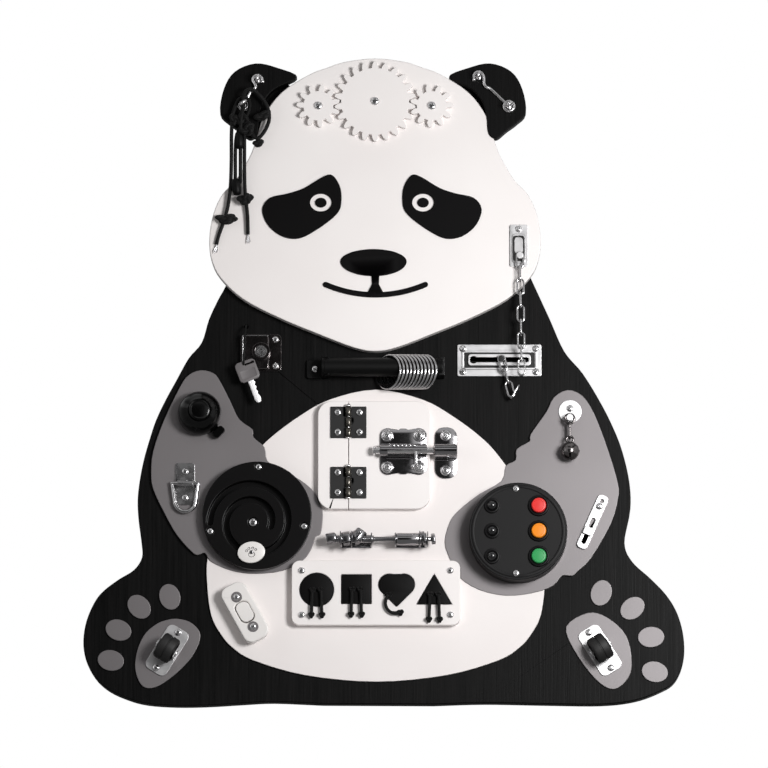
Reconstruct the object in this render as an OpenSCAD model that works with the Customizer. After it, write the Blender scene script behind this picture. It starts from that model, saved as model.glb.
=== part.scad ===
// Wooden busy board in the shape of a sitting panda, hung on a wall.
// +Z is up, the front faces -Y and +X is to the right as you face it.
// The back lies on Y = 0. The origin is midway between the two hanging holes.
// Heights named h_... are distances in front of the back.

/* [Boards] */
// thickness of the black body board
body_t = 15; // [12:1:20]
// thickness of the white head board
head_t = 12; // [9:1:15]
// thickness of the ear boards, which stand a little proud of the head
ear_t = 14; // [12:1:17]
// thickness of the white belly panel
belly_t = 3; // [2:0.5:4]
// thickness of the grey arm panels
arm_t = 4; // [3:0.5:5]
// thickness of the grey sole and toe pads
pad_t = 2; // [1.5:0.5:3]
// thickness of the eye patches, nose and mouth
patch_t = 1.5; // [1:0.5:2.5]
// radius of the two hanging holes
hang_r = 4.5; // [3:0.5:6]
// distance between the two hanging holes
hang_pitch = 180; // [120:10:200]

/* [Clearances] */
// radial clearance of a pin in its bore
run_fit = 0.08; // [0.04:0.02:0.1]
// loose clearance between pieces that pass each other
slack = 0.4; // [0.3:0.1:0.6]

/* [Screws] */
// head radius of the fixing screws
screw_head_r = 3.4; // [2.8:0.2:4]
// head height of the fixing screws
screw_head_h = 2.2; // [1.6:0.2:2.8]
// shank radius of the fixing screws
screw_r = 1.6; // [1.2:0.1:2]
// shank length below the head
screw_l = 7; // [5:1:9]

/* [Gears] */
// teeth of the large middle gear
big_teeth = 22; // [18:2:26]
// teeth of the two small gears
small_teeth = 11; // [10:1:13]
// gear module: pitch diameter over teeth
gear_m = 3.45; // [3.2:0.05:3.5]
// gear thickness
gear_t = 6; // [4:1:8]
// radius of the gear screws' shoulders
gear_pin_r = 3; // [2:0.5:4]

/* [Door] */
// overall door width with its fixed strip
door_w = 112; // [100:2:116]
// door height
door_h = 109; // [98:1:112]
// door thickness
door_t = 9; // [7:1:10]
// hinge leaf height
leaf_h = 32; // [28:1:36]
// hinge knuckle radius
knuckle_r = 3; // [2.5:0.25:3.5]
// hinge pin radius
hinge_pin_r = 1.5; // [1:0.25:1.75]
// bolt rod radius
bolt_r = 3.5; // [2.5:0.25:4]

/* [Shape puzzle] */
// shape board width
shape_w = 168; // [160:2:176]
// shape board height
shape_h = 65; // [61:1:70]
// shape board thickness
shape_t = 10; // [8:1:12]
// how far a shape stands out of the board
peg_proud = 2; // [1:0.5:4]

/* [Maze] */
// maze disc radius
maze_r = 54.5; // [52:0.5:57]
// maze disc thickness
maze_t = 12; // [10:1:14]
// groove half width
groove_r = 3.3; // [2.8:0.1:3.8]

/* [Button box] */
// radius of the round button box
box_r = 49; // [46:1:52]
// height of the button box
box_h = 25; // [22:1:28]
// wall thickness of the button box
box_wall = 3; // [2:0.5:4]
// radius of the button caps
button_r = 7.5; // [6:0.5:8.5]
// button travel
button_travel = 3; // [2:0.5:3.5]

/* [Bells, rings and chain] */
// dome radius of the bicycle bell
dome_r = 22; // [19:0.5:24]
// radius of the ball bell
ball_r = 9.5; // [8:0.5:10.5]
// wire radius of the rings on the bar
ring_wire_r = 1.1; // [0.9:0.1:1.2]
// radius of the rings, measured at the wire's middle
ring_r = 16.7; // [15.5:0.1:17]
// number of rings on the bar
ring_count = 11; // [4:1:11]
// radius of the bar that carries the rings
bar_r = 9.5; // [7:0.5:10]
// wire radius of the chain links
link_wire_r = 1; // [0.8:0.1:1.2]
// outside width of a chain link
link_w = 8.5; // [8:0.25:9]

/* [Casters] */
// wheel radius
wheel_r = 13.5; // [11:0.5:14]
// wheel width
wheel_w = 17; // [14:0.5:18]

/* [Hidden] */
$fn = 40;

e = 0.01;
black = [0.1, 0.1, 0.11];
white = [0.94, 0.94, 0.93];
grey = [0.3, 0.3, 0.31];
steel = [0.75, 0.75, 0.76];

// heights of the front faces
h_body = body_t;
h_head = body_t + head_t;
h_ear = body_t + ear_t;
h_belly = body_t + belly_t;
h_arm = body_t + arm_t;
h_pad = body_t + pad_t;

// middle lines
head_x = -8.5;
face_x = -11.6;
belly_x = -7.5;

// right and left side of the body outline, from the neck down to the seat
body_right = [[138, 44], [152, 13], [166, -18], [181, -52], [199, -74], [216, -102],
    [229, -128], [238.5, -153], [245.5, -184], [246.5, -212], [240.5, -246], [248, -265],
    [266, -282], [282, -299], [293, -318], [299, -342], [298.5, -366], [290, -386],
    [275, -396], [250, -405], [216, -409], [160, -408.5], [100, -407.5], [50, -409]];
body_left = [[-146, 44], [-158, 15], [-166, 0], [-175, -20], [-182, -43], [-195, -59],
    [-207, -81], [-218, -101.5], [-227.5, -122], [-234, -142], [-239.5, -162],
    [-243.5, -183], [-245.5, -203], [-244.5, -223], [-241.5, -246], [-241, -261],
    [-249, -273.5], [-264, -283], [-279, -294.5], [-288, -306], [-296, -325], [-299, -345],
    [-296.5, -363], [-287, -381.5], [-273, -394.5], [-253.5, -403.5], [-234, -408.5],
    [-205, -410.5], [-173, -410], [-140, -408], [-108, -406.5], [-60, -408.5]];
// one half of the head outline, from the crown down to the chin, about head_x
head_half = [[0, 245], [30, 241.5], [48, 235.5], [66, 228.5], [94, 210], [112, 185],
    [121, 157], [127, 142], [140, 120], [153, 106], [162, 86], [166, 61], [164, 40],
    [155, 21], [132, -1], [96, -20], [58, -36], [22, -50], [0, -54]];
// one half of the backing behind the head and ears, about head_x
backing_half = [[0, 234], [36, 230], [66, 219], [80, 217], [96, 225], [116, 229], [131, 222],
    [139, 209], [142, 191], [133, 179], [120, 172], [113, 160], [119, 138], [132, 116],
    [144, 100], [152, 82], [155, 62], [150, 40], [120, 16], [0, 0]];
// right ear, about head_x
ear_pts = [[74, 225.5], [94, 235], [116, 239.5], [137, 231], [148, 213], [151.5, 189],
    [142, 178], [132, 170.5], [123, 163], [117, 164], [113.5, 169.5], [112, 185],
    [108, 199.5], [97, 213]];
ear_shift = 4;
// right eye patch and eye, about face_x
eye_pts = [[39.6, 125], [49, 123.5], [68, 112], [84, 106.5], [102, 102], [110, 90.5],
    [105, 75], [93, 64], [80, 60], [67, 62.5], [47, 75], [33.5, 87.5], [30.5, 99.5],
    [32, 113.5]];
eye_at = [51.2, 97];
mouth_r = 124;
mouth_w = 5.5;
mouth_turn = 23.7;
mouth_top = [3.6, 127];
// one half of the belly outline, about belly_x
belly_half = [[0, -91.5], [46, -101.5], [76, -118], [104, -139], [122, -158],
    [142, -188], [158, -225], [168, -262], [168, -292], [164, -320], [155, -338],
    [143, -352], [122, -365], [70, -380], [0, -386.5]];
arm_left_pts = [[-183, -72], [-195, -77], [-203.5, -89], [-219.5, -123], [-230, -154],
    [-232, -175], [-230, -192], [-219, -216], [-206, -239], [-191, -256],
    [-185, -259], [-178, -257], [-173, -265], [-162, -271], [-147, -276],
    [-127, -278], [-101, -275], [-81, -265], [-72, -253], [-68, -241], [-63, -238],
    [-61, -227], [-61, -214], [-68, -197], [-82, -184], [-100, -174], [-116, -164],
    [-119, -150], [-130, -140], [-131, -132], [-144, -122], [-153, -104],
    [-163, -84], [-170, -75]];
arm_right_pts = [[184, -92], [170, -100], [163, -114], [147, -137], [146, -144],
    [133, -152], [132, -163], [122, -169], [118, -184], [95, -198], [75, -214],
    [66, -226], [61, -246], [66, -263], [75, -281], [95, -294], [122, -300],
    [150, -297], [169, -290], [178, -280], [188, -280], [194, -275], [207, -262],
    [227, -227], [234, -202], [234, -187], [225, -155], [211, -117], [199, -98]];
// sole pads, right and left
sole_right = [[204, -317], [182, -331], [190, -355], [211, -384], [229, -394],
    [244, -382], [247, -363], [241, -339], [223, -322]];
sole_left = [[-206.5, -323], [-193.5, -326], [-184.5, -334], [-182.5, -341.5],
    [-185.5, -352], [-193.5, -365], [-208.5, -380], [-223.5, -390.5], [-234, -393],
    [-241.5, -389], [-246.5, -377], [-247, -365], [-243.5, -350], [-236.5, -337],
    [-225.5, -328], [-216.5, -324.5]];
// oval toe pads: x, z and the turn of the long axis
toe_long = 13.2;
toe_short = 10.4;
toes = [[217, -297, 72], [248, -312.5, 40], [266.5, -341.5, 4], [270, -376.5, -14],
    [-213, -301, 106], [-243.5, -311, 130], [-264, -334.5, 158], [-271.5, -365, 168]];

// gears
big_pos = [-8.5, 199.7];
gear_tilt = 4.6;
gear_gap = 0.4;
gear_d = gear_m * (big_teeth + small_teeth) / 2 + 0.15;
right_gear_pos = big_pos + gear_d * [cos(gear_tilt), -sin(gear_tilt)];
left_gear_pos = big_pos + gear_d * [-cos(gear_tilt), -sin(gear_tilt)];
h_gear = h_head + gear_gap;

// cabin hooks: post and eye, right and left
hook_right = [[126, 195], [95.5, 225]];
hook_left = [[-140.5, 196.5], [-126.5, 221.5]];
hook_spots = concat(hook_right, hook_left);
hook_wire_r = 1.5;
hook_bow_r = 5;
h_hook = h_ear + hook_wire_r + 0.3;

// security chain
anchor_pos = [135.5, 53];
anchor_w = 18;
anchor_h = 43;
chain_peg = [136.5, 42];
slide_pos = [116, -61.5];
slide_w = 84;
slide_h = 32;
slide_screw = [36.5, 11.8];
slide_cavity = 3.4;
slide_wall = 1.4;
slot_l = 54;
slot_half = 2.5;
track_w = 62.5;
track_h = 11.5;
slider_head_r = 3.4;
h_slide = h_body + slide_cavity + slide_wall;
slider_x = 2;
link_l = 18;
link_pitch = link_l - 4 * link_wire_r - 0.4;
h_lower = h_slide + link_w / 2 + 0.5;
h_upper = h_lower + link_w + 0.5;
chain_foot = [138, -79];
chain_low = [127.5, -96];

// ring bar
bar_pos = [-68.5, -71];
bar_x0 = -59.5;
bar_x1 = 56;
h_bar = h_body + bar_r + 6.5;
ring_pitch = 3.6;
ring_x1 = 41;
ring_lean = 45;
// how far a ring that leans by 45 degrees hangs below the bar's middle
ring_drop = sqrt(ring_r * ring_r / 2 - pow(bar_r + ring_wire_r + 0.15, 2));

// lock
lock_pos = [-122.5, -54];
lock_w = 40.5;
lock_h = 38;
lock_plate_t = 2;
barrel_r = 9;
barrel_h = 9;
plug_r = 6;
key_hole_pos = [-137.5, -27];
key_pos = [-136, -74.5];
key_tilt = 20.7;
h_key = h_body + lock_plate_t + barrel_h + 3;

// bicycle bell
bell_pos = [-183.5, -117];
bell_post_r = 3;
lever_pin = [13, -9];
lever_pin_r = 2;
h_dome = h_arm + 7;
dome_wall = 1.5;
cap_r = 10.5;

// D-ring
clip_pos = [-198, -187.5];
clip_w = 19.5;
clip_wire_r = 2;
clip_half = 13;
clip_low = 10.5;
clip_drop = 18;
clip_t = 1.5;
h_clip = h_arm + clip_t + clip_wire_r + 0.3;

// maze
maze_pos = [-126, -221];
spiral_pos = [-130, -228];
spiral_r0 = 43;
spiral_k = 0.045;
spiral_turn = 553;
spiral_rest = 273;
h_maze = h_arm + maze_t;
groove_d = 8;
hub_r = 4.5;

// button box
box_pos = [134, -239];
row_pitch = 25.5;
button_x = 20.5;
dome_x = -26;
led_r = 5;
h_box = h_arm + box_h;
box_screw = 42.5;
box_screw_x = -2;
board_h = 9.5;
pcb_t = 1.6;

// jingle bell
jingle_pos = [186.5, -114];
jingle_pin = [186, -122];
jingle_pin_r = 2;
h_jingle = h_arm + ball_r + 1;
ball_z = -34;

// slide strip
strip_pos = [208.5, -226];
strip_tilt = -24.2;
strip_w = 11;
strip_l = 58;
strip_t = 1.4;
strip_in = 1.6;
tab_y = -10.5;

// rocker switch
switch_pos = [-138, -318.5];
switch_tilt = 29;
switch_screw = 17;
switch_w = 27;
switch_l = 62;
switch_h = 14;
rocker_w = 14;
rocker_l = 20.4;
rocker_round = 6;
rocker_pin_r = 1.5;

// door
door_pos = [-9.5, -159.3];
door_round = 14;
split_x = -35;
split_gap = 0.6;
h_door = h_belly + door_t;
hinge_t = 1.5;
hinge_z = [-126.5, -187.5];
hinge_w = 17;
h_pin = h_door + knuckle_r + 0.4;
bolt_plate_w = 47;
bolt_x = 19.75;
bolt_z = -156;
h_bolt = h_door + 6.5;
sleeve_r = 6;
rod_x0 = -8;
lever_x = 32.5;
lever_l = 16;
keeper_gap = 5;
keeper_w = 22.5;
keeper_l = 52;
keeper_x0 = door_pos[0] + door_w / 2 + keeper_gap;
keeper_x1 = keeper_x0 + keeper_w;
rod_x1 = keeper_x0 - 0.7;

// nut and bolt set
rod_z = -245.5;
h_rod = h_belly + 16;
thread_r = 4;
thin_r = 3;
thread_x0 = -56.5;
thread_l = 47;
thin_x0 = -10;
thin_l = 59;
sleeve_x0 = 14;
sleeve_l = 26;
wing_x0 = -27;
nut_x = [-50, 44];
washer_x = [-45, 43];
end_nut_x = 49;
ear_x = [-42, -12, 12, 42];

// shape puzzle
shape_pos = [-7.5, -298.6];
shape_screw = [74, 22.3];
h_shape = h_belly + shape_t;
peg_depth = 6;
peg_gap = 0.6;
peg_at = [for (p = [[-0.351, 0.048], [-0.116, 0.055], [0.122, 0.017], [0.345, -0.022]])
    shape_pos + [p[0] * shape_w, p[1] * shape_h]];

// casters
caster_pos = [215.5, -355];
caster_tilt = -58.2;
caster_half = 20.9;
h_wheel = h_pad + 1.5 + wheel_r + 0.6;
caster_axle_r = 2;

// fixing screws into the boards: [x, z, seat height]
screw_spots = concat(
    [for (i = [-1, 1]) for (j = [-1, 1])
        [lock_pos[0] + 14.5 * i, lock_pos[1] + 13.5 * j, h_body + lock_plate_t]],
    [[bar_pos[0], bar_pos[1], h_body + 4]],
    [for (i = [-1, 1]) for (j = [-1, 1])
        [slide_pos[0] + slide_screw[0] * i, slide_pos[1] + slide_screw[1] * j,
            h_body + slide_wall]],
    [[anchor_pos[0], anchor_pos[1] + 17, h_head + 1.5]],
    [[clip_pos[0], clip_pos[1] + 12.5, h_arm + clip_t],
        [clip_pos[0], clip_pos[1] - 14, h_arm + clip_t]],
    [[-124.5, -172, h_maze - screw_head_h], [-172.5, -237, h_maze - screw_head_h],
        [-79, -232, h_maze - screw_head_h]],
    [for (j = [-1, 1]) [box_pos[0] + box_screw_x, box_pos[1] + box_screw * j, h_box]],
    [[jingle_pos[0], jingle_pos[1] + 3, h_arm + 1.5]],
    [along(strip_pos, strip_tilt, 17, h_arm + strip_in + strip_t)],
    [for (j = [-1, 1]) along(switch_pos, switch_tilt, switch_screw * j, h_belly + switch_h)],
    [for (i = [-1, 1]) for (j = [-1, 1])
        [shape_pos[0] + shape_screw[0] * i, shape_pos[1] + shape_screw[1] * j, h_shape]],
    [for (j = [-1, 1]) [(keeper_x0 + keeper_x1) / 2, bolt_z + 17.5 * j, h_belly + 1.5]],
    [for (s = [-1, 1]) for (j = [-1, 1]) [
        s * (caster_pos[0] + j * caster_half * cos(caster_tilt)),
        caster_pos[1] + j * caster_half * sin(caster_tilt), h_pad + 1.5]]);

// a point at distance d up a line tilted by a from the vertical through p, with height h
function along(p, a, d, h) = [p[0] - d * sin(a), p[1] + d * cos(a), h];

// one point of a Catmull-Rom curve between b and c
function blend(a, b, c, d, t) = 0.5 * (2 * b + (c - a) * t
    + (2 * a - 5 * b + 4 * c - d) * t * t + (3 * b - a - 3 * c + d) * t * t * t);
// closed smooth outline through the points of p, with n steps between them
function smooth(p, n) = [for (i = [0:len(p) - 1]) for (k = [0:n - 1])
    blend(p[(i + len(p) - 1) % len(p)], p[i], p[(i + 1) % len(p)],
        p[(i + 2) % len(p)], k / n)];
// open smooth curve through the points of p, with n steps between them
function curve(p, n) = concat([for (i = [0:len(p) - 2]) for (k = [0:n - 1])
    blend(p[max(i - 1, 0)], p[i], p[i + 1], p[min(i + 2, len(p) - 1)], k / n)],
    [p[len(p) - 1]]);
function reverse(p) = [for (i = [len(p) - 1:-1:0]) p[i]];
function flip(p) = [for (q = reverse(p)) [-q[0], q[1]]];
// a closed outline from one half that starts and ends on the middle line
function whole(p, n) = smooth(concat(p, [for (q = flip(p)) if (abs(q[0]) > e) q]), n);
function ellipse(a, b, n) = [for (i = [0:n - 1]) [a * cos(360 * i / n), b * sin(360 * i / n)]];

// involute gear outline with one tooth centred on the angle phase
gear_pa = 25;
function inv(a) = tan(a) * 180 / PI - a;
function tooth_half(z, r) = let (rp = gear_m * z / 2, rb = rp * cos(gear_pa))
    90 / z - 5 / z + inv(gear_pa) - inv(acos(min(1, rb / max(r, rb))));
function gear_radii(z) = let (rp = gear_m * z / 2)
    [rp - 1.1 * gear_m, rp - 0.55 * gear_m, rp, rp + 0.45 * gear_m, rp + 0.85 * gear_m];
function gear_outline(z, phase) = [for (i = [0:z - 1]) for (s = [-1, 1]) for (k = [0:4])
    let (r = gear_radii(z)[s < 0 ? k : 4 - k], a = phase + 360 * i / z
        + s * tooth_half(z, r)) [r * cos(a), r * sin(a)]];
// phase that puts a small gear in mesh on the line of angle a from the big gear
function mesh_phase(a, phase) = let (step = 360 / big_teeth,
    off = (phase - a) - step * round((phase - a) / step))
    a + 180 - off * big_teeth / small_teeth + 180 / small_teeth;

// spiral groove: distance from its middle after a turn of s degrees from the outer end
function spiral_at(s, side) = let (r = spiral_r0 - spiral_k * s + side)
    [r * cos(180 - s), r * sin(180 - s)];

// sweep of a round cord along a path
function unit(v) = v / norm(v);
function tangent(p, i) = unit(p[min(i + 1, len(p) - 1)] - p[max(i - 1, 0)]);
function across(t) = unit(cross(t, abs(t[1]) > 0.9 ? [0, 0, 1] : [0, 1, 0]));
module tube(p, r, sides) {
    n = len(p);
    pts = [for (i = [0:n - 1]) let (t = tangent(p, i), u = across(t), v = cross(t, u))
        for (k = [0:sides - 1]) p[i] + r * (cos(360 * k / sides) * u + sin(360 * k / sides) * v)];
    skin = [for (i = [0:n - 2]) for (k = [0:sides - 1])
        [i * sides + k, i * sides + (k + 1) % sides, (i + 1) * sides + (k + 1) % sides,
            (i + 1) * sides + k]];
    ends = [[for (k = [sides - 1:-1:0]) k], [for (k = [0:sides - 1]) (n - 1) * sides + k]];
    polyhedron(pts, concat(skin, ends), convexity = 10);
}

// free lace on the left ear: two tails, a bight and a short loop, all from the hook's ring
lace_r = 1.9;
lace_pts = [[-167.5, -29.2, 54], [-164.5, -29.5, 65], [-159.5, -30.5, 79], [-155.5, -31.5, 95],
    [-153.2, -33, 115], [-152.5, -34.6, 140], [-152.5, -34.8, 165], [-151.5, -34.8, 183],
    [-148.9, -34.8, 193.5], [-145.4, -34.8, 200.6], [-140.5, -34.8, 203],
    [-135.8, -34.8, 201], [-134.2, -34.8, 196], [-135.4, -34.8, 189], [-139, -34.8, 181],
    [-144, -34.8, 172], [-147.6, -34.8, 162], [-148.5, -34.8, 148], [-148.5, -34.6, 125],
    [-148.6, -34.6, 120], [-148.6, -34.6, 118], [-147.8, -34.6, 116.2], [-146, -34.6, 115.4],
    [-144.2, -34.6, 116.2], [-143.4, -34.6, 118], [-143.4, -34.7, 120],
    [-143.4, -34.8, 125], [-143.4, -35.5, 140], [-143.4, -37.3, 155],
    [-143.2, -39.2, 170], [-142.2, -40.6, 184], [-140.8, -41, 191], [-140.5, -41, 197],
    [-140.3, -41, 203], [-137.5, -40.8, 209], [-131.5, -40, 210], [-125, -38.5, 205],
    [-118.5, -36.5, 197], [-114.8, -35.2, 187], [-115.5, -34.5, 177], [-120.5, -34.5, 167],
    [-126, -34.6, 161.5], [-130.5, -35.6, 163.5], [-132.8, -36.8, 168.5], [-133.4, -37.6, 171.8],
    [-133.5, -37.9, 174], [-134.4, -38.1, 176.1], [-136.4, -38.2, 177], [-138.4, -38.2, 176.1],
    [-139.3, -38.1, 174], [-139.4, -38, 171.5], [-139.4, -37.6, 167], [-139.4, -36.5, 150],
    [-139.4, -34.8, 134], [-139, -33, 112], [-137.8, -31.6, 98], [-136.2, -30.5, 82],
    [-135.8, -29.8, 64]];
// short cord that holds the key
key_cord_r = 1;
key_cord_pts = [[-137.5, -12, -27], [-137.5, -17, -27], [-137.6, -21, -28], [-138, -25.5, -32],
    [-138.4, -29, -39], [-138.8, -31, -47], [-139.2, -32.2, -55], [-139.6, -32.8, -62],
    [-139.8, -32.4, -66.5], [-139.9, -30.5, -68.6], [-139.9, -28.2, -68.8]];

// ---- shared shapes ----

// puts children on the front: local X and Y lie along the board and local Z comes out
module on(p, h) {
    translate([p[0], -h, p[1]]) rotate([90, 0, 0]) children();
}
module rounded(w, d, r) {
    square([w - 2 * r, d], center = true);
    square([w, d - 2 * r], center = true);
    for (i = [-1, 1]) for (j = [-1, 1]) translate([i * (w / 2 - r), j * (d / 2 - r)]) circle(r);
}
module plate(w, d, r, t) {
    linear_extrude(t) rounded(w, d, r);
}
// a round-headed cross screw whose head seats at local zero
module pan_screw(head_r = screw_head_r, head_h = screw_head_h, shank_r = screw_r,
    shank_l = screw_l) {
    difference() {
        union() {
            cylinder(r = head_r, h = head_h * 0.5);
            translate([0, 0, head_h * 0.5]) cylinder(r1 = head_r, r2 = head_r * 0.6, h = head_h * 0.5);
            translate([0, 0, -shank_l]) cylinder(r = shank_r, h = shank_l + e);
        }
        for (a = [0, 90]) rotate([0, 0, a]) translate([-head_r * 0.5, -head_r * 0.11, head_h * 0.55])
            cube([head_r, head_r * 0.22, head_h]);
    }
}
// the bores that all fixing screws need, wherever they pass
module screw_bores() {
    for (s = screw_spots) on(s, s[2] - screw_l - 0.3)
        cylinder(r = screw_r + run_fit, h = screw_l + 0.4);
}
module ring(r, wire_r) {
    rotate_extrude() translate([r, 0]) circle(wire_r);
}
module arc_wire(r, wire_r, a0, sweep) {
    rotate([0, 0, a0]) rotate_extrude(angle = sweep) translate([r, 0]) circle(wire_r);
}
// a long chain link in the local XY plane, centred, long along Y
module chain_link() {
    r = link_w / 2 - link_wire_r;
    half = link_l / 2 - link_w / 2;
    for (s = [-1, 1]) translate([s * r, 0, 0]) rotate([90, 0, 0])
        cylinder(r = link_wire_r, h = 2 * half, center = true);
    translate([0, half, 0]) arc_wire(r, link_wire_r, 0, 180);
    translate([0, -half, 0]) arc_wire(r, link_wire_r, 180, 180);
}
// a run of links hanging down from local zero, with every second one on edge
module chain_run(count) {
    for (k = [0:count - 1]) translate([0, -link_l / 2 + link_wire_r * 2 + link_peg_r - k * link_pitch, 0])
        rotate([0, k % 2 * 90, 0]) chain_link();
}
link_peg_r = link_w / 2 - 2 * link_wire_r - run_fit;
chain_up_turn = 134;

// ---- boards ----

// what the body board reaches up behind the head and ears, a little inside their outlines
module backing_outline() {
    translate([head_x, 0]) polygon(whole(backing_half, 4));
}
module body_board() color(black) difference() {
    on([0, 0], 0) linear_extrude(body_t) union() {
        polygon(concat(curve(body_right, 5), reverse(curve(body_left, 4))));
        backing_outline();
    }
    for (s = [-1, 1]) on([s * hang_pitch / 2, 0], -e) cylinder(r = hang_r, h = body_t + 2 * e);
    screw_bores();
    on(key_hole_pos, h_body - 4) cylinder(r = key_cord_r + 0.6, h = 5);
}

// both ears, about head_x, with the left one a little further out
module ear_outlines() {
    for (s = [0, 1]) translate([-s * ear_shift, 0]) mirror([s, 0]) polygon(smooth(ear_pts, 4));
}
module head_board() color(white) difference() {
    on([head_x, 0], h_body) linear_extrude(head_t) difference() {
        polygon(whole(head_half, 4));
        ear_outlines();
    }
    screw_bores();
    for (p = [big_pos, left_gear_pos, right_gear_pos]) on(p, h_head - 8)
        cylinder(r = gear_pin_r + run_fit, h = 9);
}
module ear_boards() color(black) difference() {
    on([head_x, 0], h_body) linear_extrude(ear_t) ear_outlines();
    for (p = hook_spots) on(p, h_ear - 8) cylinder(r = hook_wire_r + run_fit, h = 9);
}
module eye_ring(a, b) {
    translate(eye_at) polygon(ellipse(a, b, 40));
}
module face_patches() color(black) {
    on([face_x, 0], h_head) linear_extrude(patch_t) {
        for (s = [0, 1]) mirror([s, 0]) {
            difference() {
                polygon(smooth(eye_pts, 4));
                eye_ring(10.8, 9);
            }
            eye_ring(5.8, 5);
        }
        translate([1.6, 37]) polygon([for (i = [0:47]) let (a = 7.5 * i)
            [33.2 * cos(a), (a < 180 ? 12 : 15) * sin(a) * (a < 180 ? 1.05 : 1)]]);
        translate(mouth_top) {
            intersection() {
                difference() {
                    circle(mouth_r + mouth_w / 2);
                    circle(mouth_r - mouth_w / 2);
                }
                polygon([[0, 0], 1.1 * mouth_r * [-tan(mouth_turn), -1],
                    1.1 * mouth_r * [tan(mouth_turn), -1]]);
            }
            for (s = [-1, 1]) rotate([0, 0, s * mouth_turn]) translate([0, -mouth_r])
                circle(mouth_w / 2);
        }
        polygon([[-0.5, 24], [7.5, 24], [7, 14], [11, 6], [15, 3], [-8, 3], [-4, 6], [0, 14]]);
    }
}
module belly_outline() {
    difference() {
        translate([belly_x, 0]) polygon(whole(belly_half, 4));
        polygon(smooth(arm_left_pts, 3));
        polygon(smooth(arm_right_pts, 3));
    }
}
module belly_panel() color(white) difference() {
    on([0, 0], h_body) linear_extrude(belly_t) belly_outline();
    screw_bores();
}
module limb_panels() color(grey) difference() {
    union() {
        on([0, 0], h_body) linear_extrude(arm_t) {
            polygon(smooth(arm_left_pts, 3));
            polygon(smooth(arm_right_pts, 3));
        }
        on([0, 0], h_body) linear_extrude(pad_t) {
            polygon(smooth(sole_right, 4));
            polygon(smooth(sole_left, 3));
            for (t = toes) translate([t[0], t[1]]) rotate(t[2])
                polygon(ellipse(toe_long, toe_short, 28));
        }
    }
    on(shape_pos, h_body - 1) plate(shape_w + 2 * slack, shape_h + 2 * slack, 8, arm_t + 2);
    on(door_pos, h_body - 1) plate(door_w + 2 * slack, door_h + 2 * slack, door_round, arm_t + 2);
    screw_bores();
}
module board_screws() color(steel) {
    for (s = screw_spots) on(s, s[2]) pan_screw();
    for (p = [big_pos, left_gear_pos, right_gear_pos]) on(p, h_gear + gear_t + gear_gap)
        pan_screw(head_r = gear_pin_r + 1.8, head_h = 2.4, shank_r = gear_pin_r,
            shank_l = gear_t + 2 * gear_gap + 7);
    for (p = hook_spots) on(p, h_ear) {
        translate([0, 0, -7]) cylinder(r = hook_wire_r, h = 15.5);
        translate([0, 0, 12]) rotate([90, 0, 0]) ring(3.6, hook_wire_r);
    }
}

// ---- gears on the head ----

module gear(z, phase, pos) color(white) on(pos, h_gear) difference() {
    linear_extrude(gear_t) polygon(gear_outline(z, phase));
    translate([0, 0, -e]) cylinder(r = gear_pin_r + run_fit, h = gear_t + 2 * e);
}
module drive_gear() {
    gear(big_teeth, 90, big_pos);
}
module right_gear() {
    gear(small_teeth, mesh_phase(-gear_tilt, 90), right_gear_pos);
}
module left_gear() {
    gear(small_teeth, mesh_phase(180 + gear_tilt, 90), left_gear_pos);
}

// ---- cabin hooks on the ears ----

// a hook in its own plane: a ring round the post and a bow round the eye's stem
module hook_shape(post, eye, half_turn) {
    d = eye - post;
    a = atan2(d[1], d[0]);
    l = norm(d);
    on(post, h_hook) rotate([0, 0, a]) {
        ring(hook_bow_r, hook_wire_r + 0.1);
        translate([hook_bow_r, 0, 0]) rotate([0, 90, 0])
            cylinder(r = hook_wire_r, h = l - 2 * hook_bow_r);
        translate([l, 0, 0]) rotate([half_turn, 0, 0])
            arc_wire(hook_bow_r, hook_wire_r + 0.1, 165, 210);
    }
}
module cabin_hook_right() color(steel) hook_shape(hook_right[0], hook_right[1], 0);
module cabin_hook_left() color(steel) hook_shape(hook_left[0], hook_left[1], 180);
module ear_cord() color(black) {
    tube(curve(lace_pts, 2), lace_r, 8);
}

// ---- security chain ----

module chain_plates() color(steel) {
    difference() {
        union() {
            on(anchor_pos, h_head) plate(anchor_w, anchor_h, 2, 1.5);
            on([anchor_pos[0], anchor_pos[1] - 4], h_head + 1) plate(11, 24, 2, 3.5);
            on(chain_peg, h_head + 1) cylinder(r = link_peg_r, h = h_upper + 1.2 - h_head);
            on(chain_peg, h_upper + link_wire_r + 0.4) cylinder(r = link_peg_r + 1.2, h = 1.2);
        }
        screw_bores();
    }
    difference() {
        union() {
            on(slide_pos, h_body) plate(slide_w, slide_h, 1.5, slide_wall);
            on(slide_pos, h_body) difference() {
                plate(75, 19, 2, slide_wall + 1.4);
                translate([0, 0, slide_wall]) plate(71.5, 15.5, 1, 5);
            }
            on(slide_pos, h_body) plate(track_w, track_h, 3, slide_cavity + slide_wall);
        }
        on(slide_pos, h_body - e)
            plate(track_w - 2 * slide_wall, track_h - 2 * slide_wall, 0.5, slide_cavity);
        on(slide_pos, h_body) plate(slot_l + 2 * slot_half, 2 * slot_half, slot_half - e, 9);
        on([slide_pos[0] - slot_l / 2 + 1, slide_pos[1]], h_body)
            cylinder(r = slider_head_r + slack, h = 9);
        for (i = [-1, 1]) for (j = [-1, 1])
            on([slide_pos[0] + slide_screw[0] * i, slide_pos[1] + slide_screw[1] * j],
                h_body + slide_wall) cylinder(r = screw_head_r + 0.3, h = 9);
        screw_bores();
    }
}
module chain_upper() color(steel) on(chain_peg, h_upper)
    rotate([0, 0, -chain_lean(chain_peg, chain_foot)]) chain_run(9);
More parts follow.
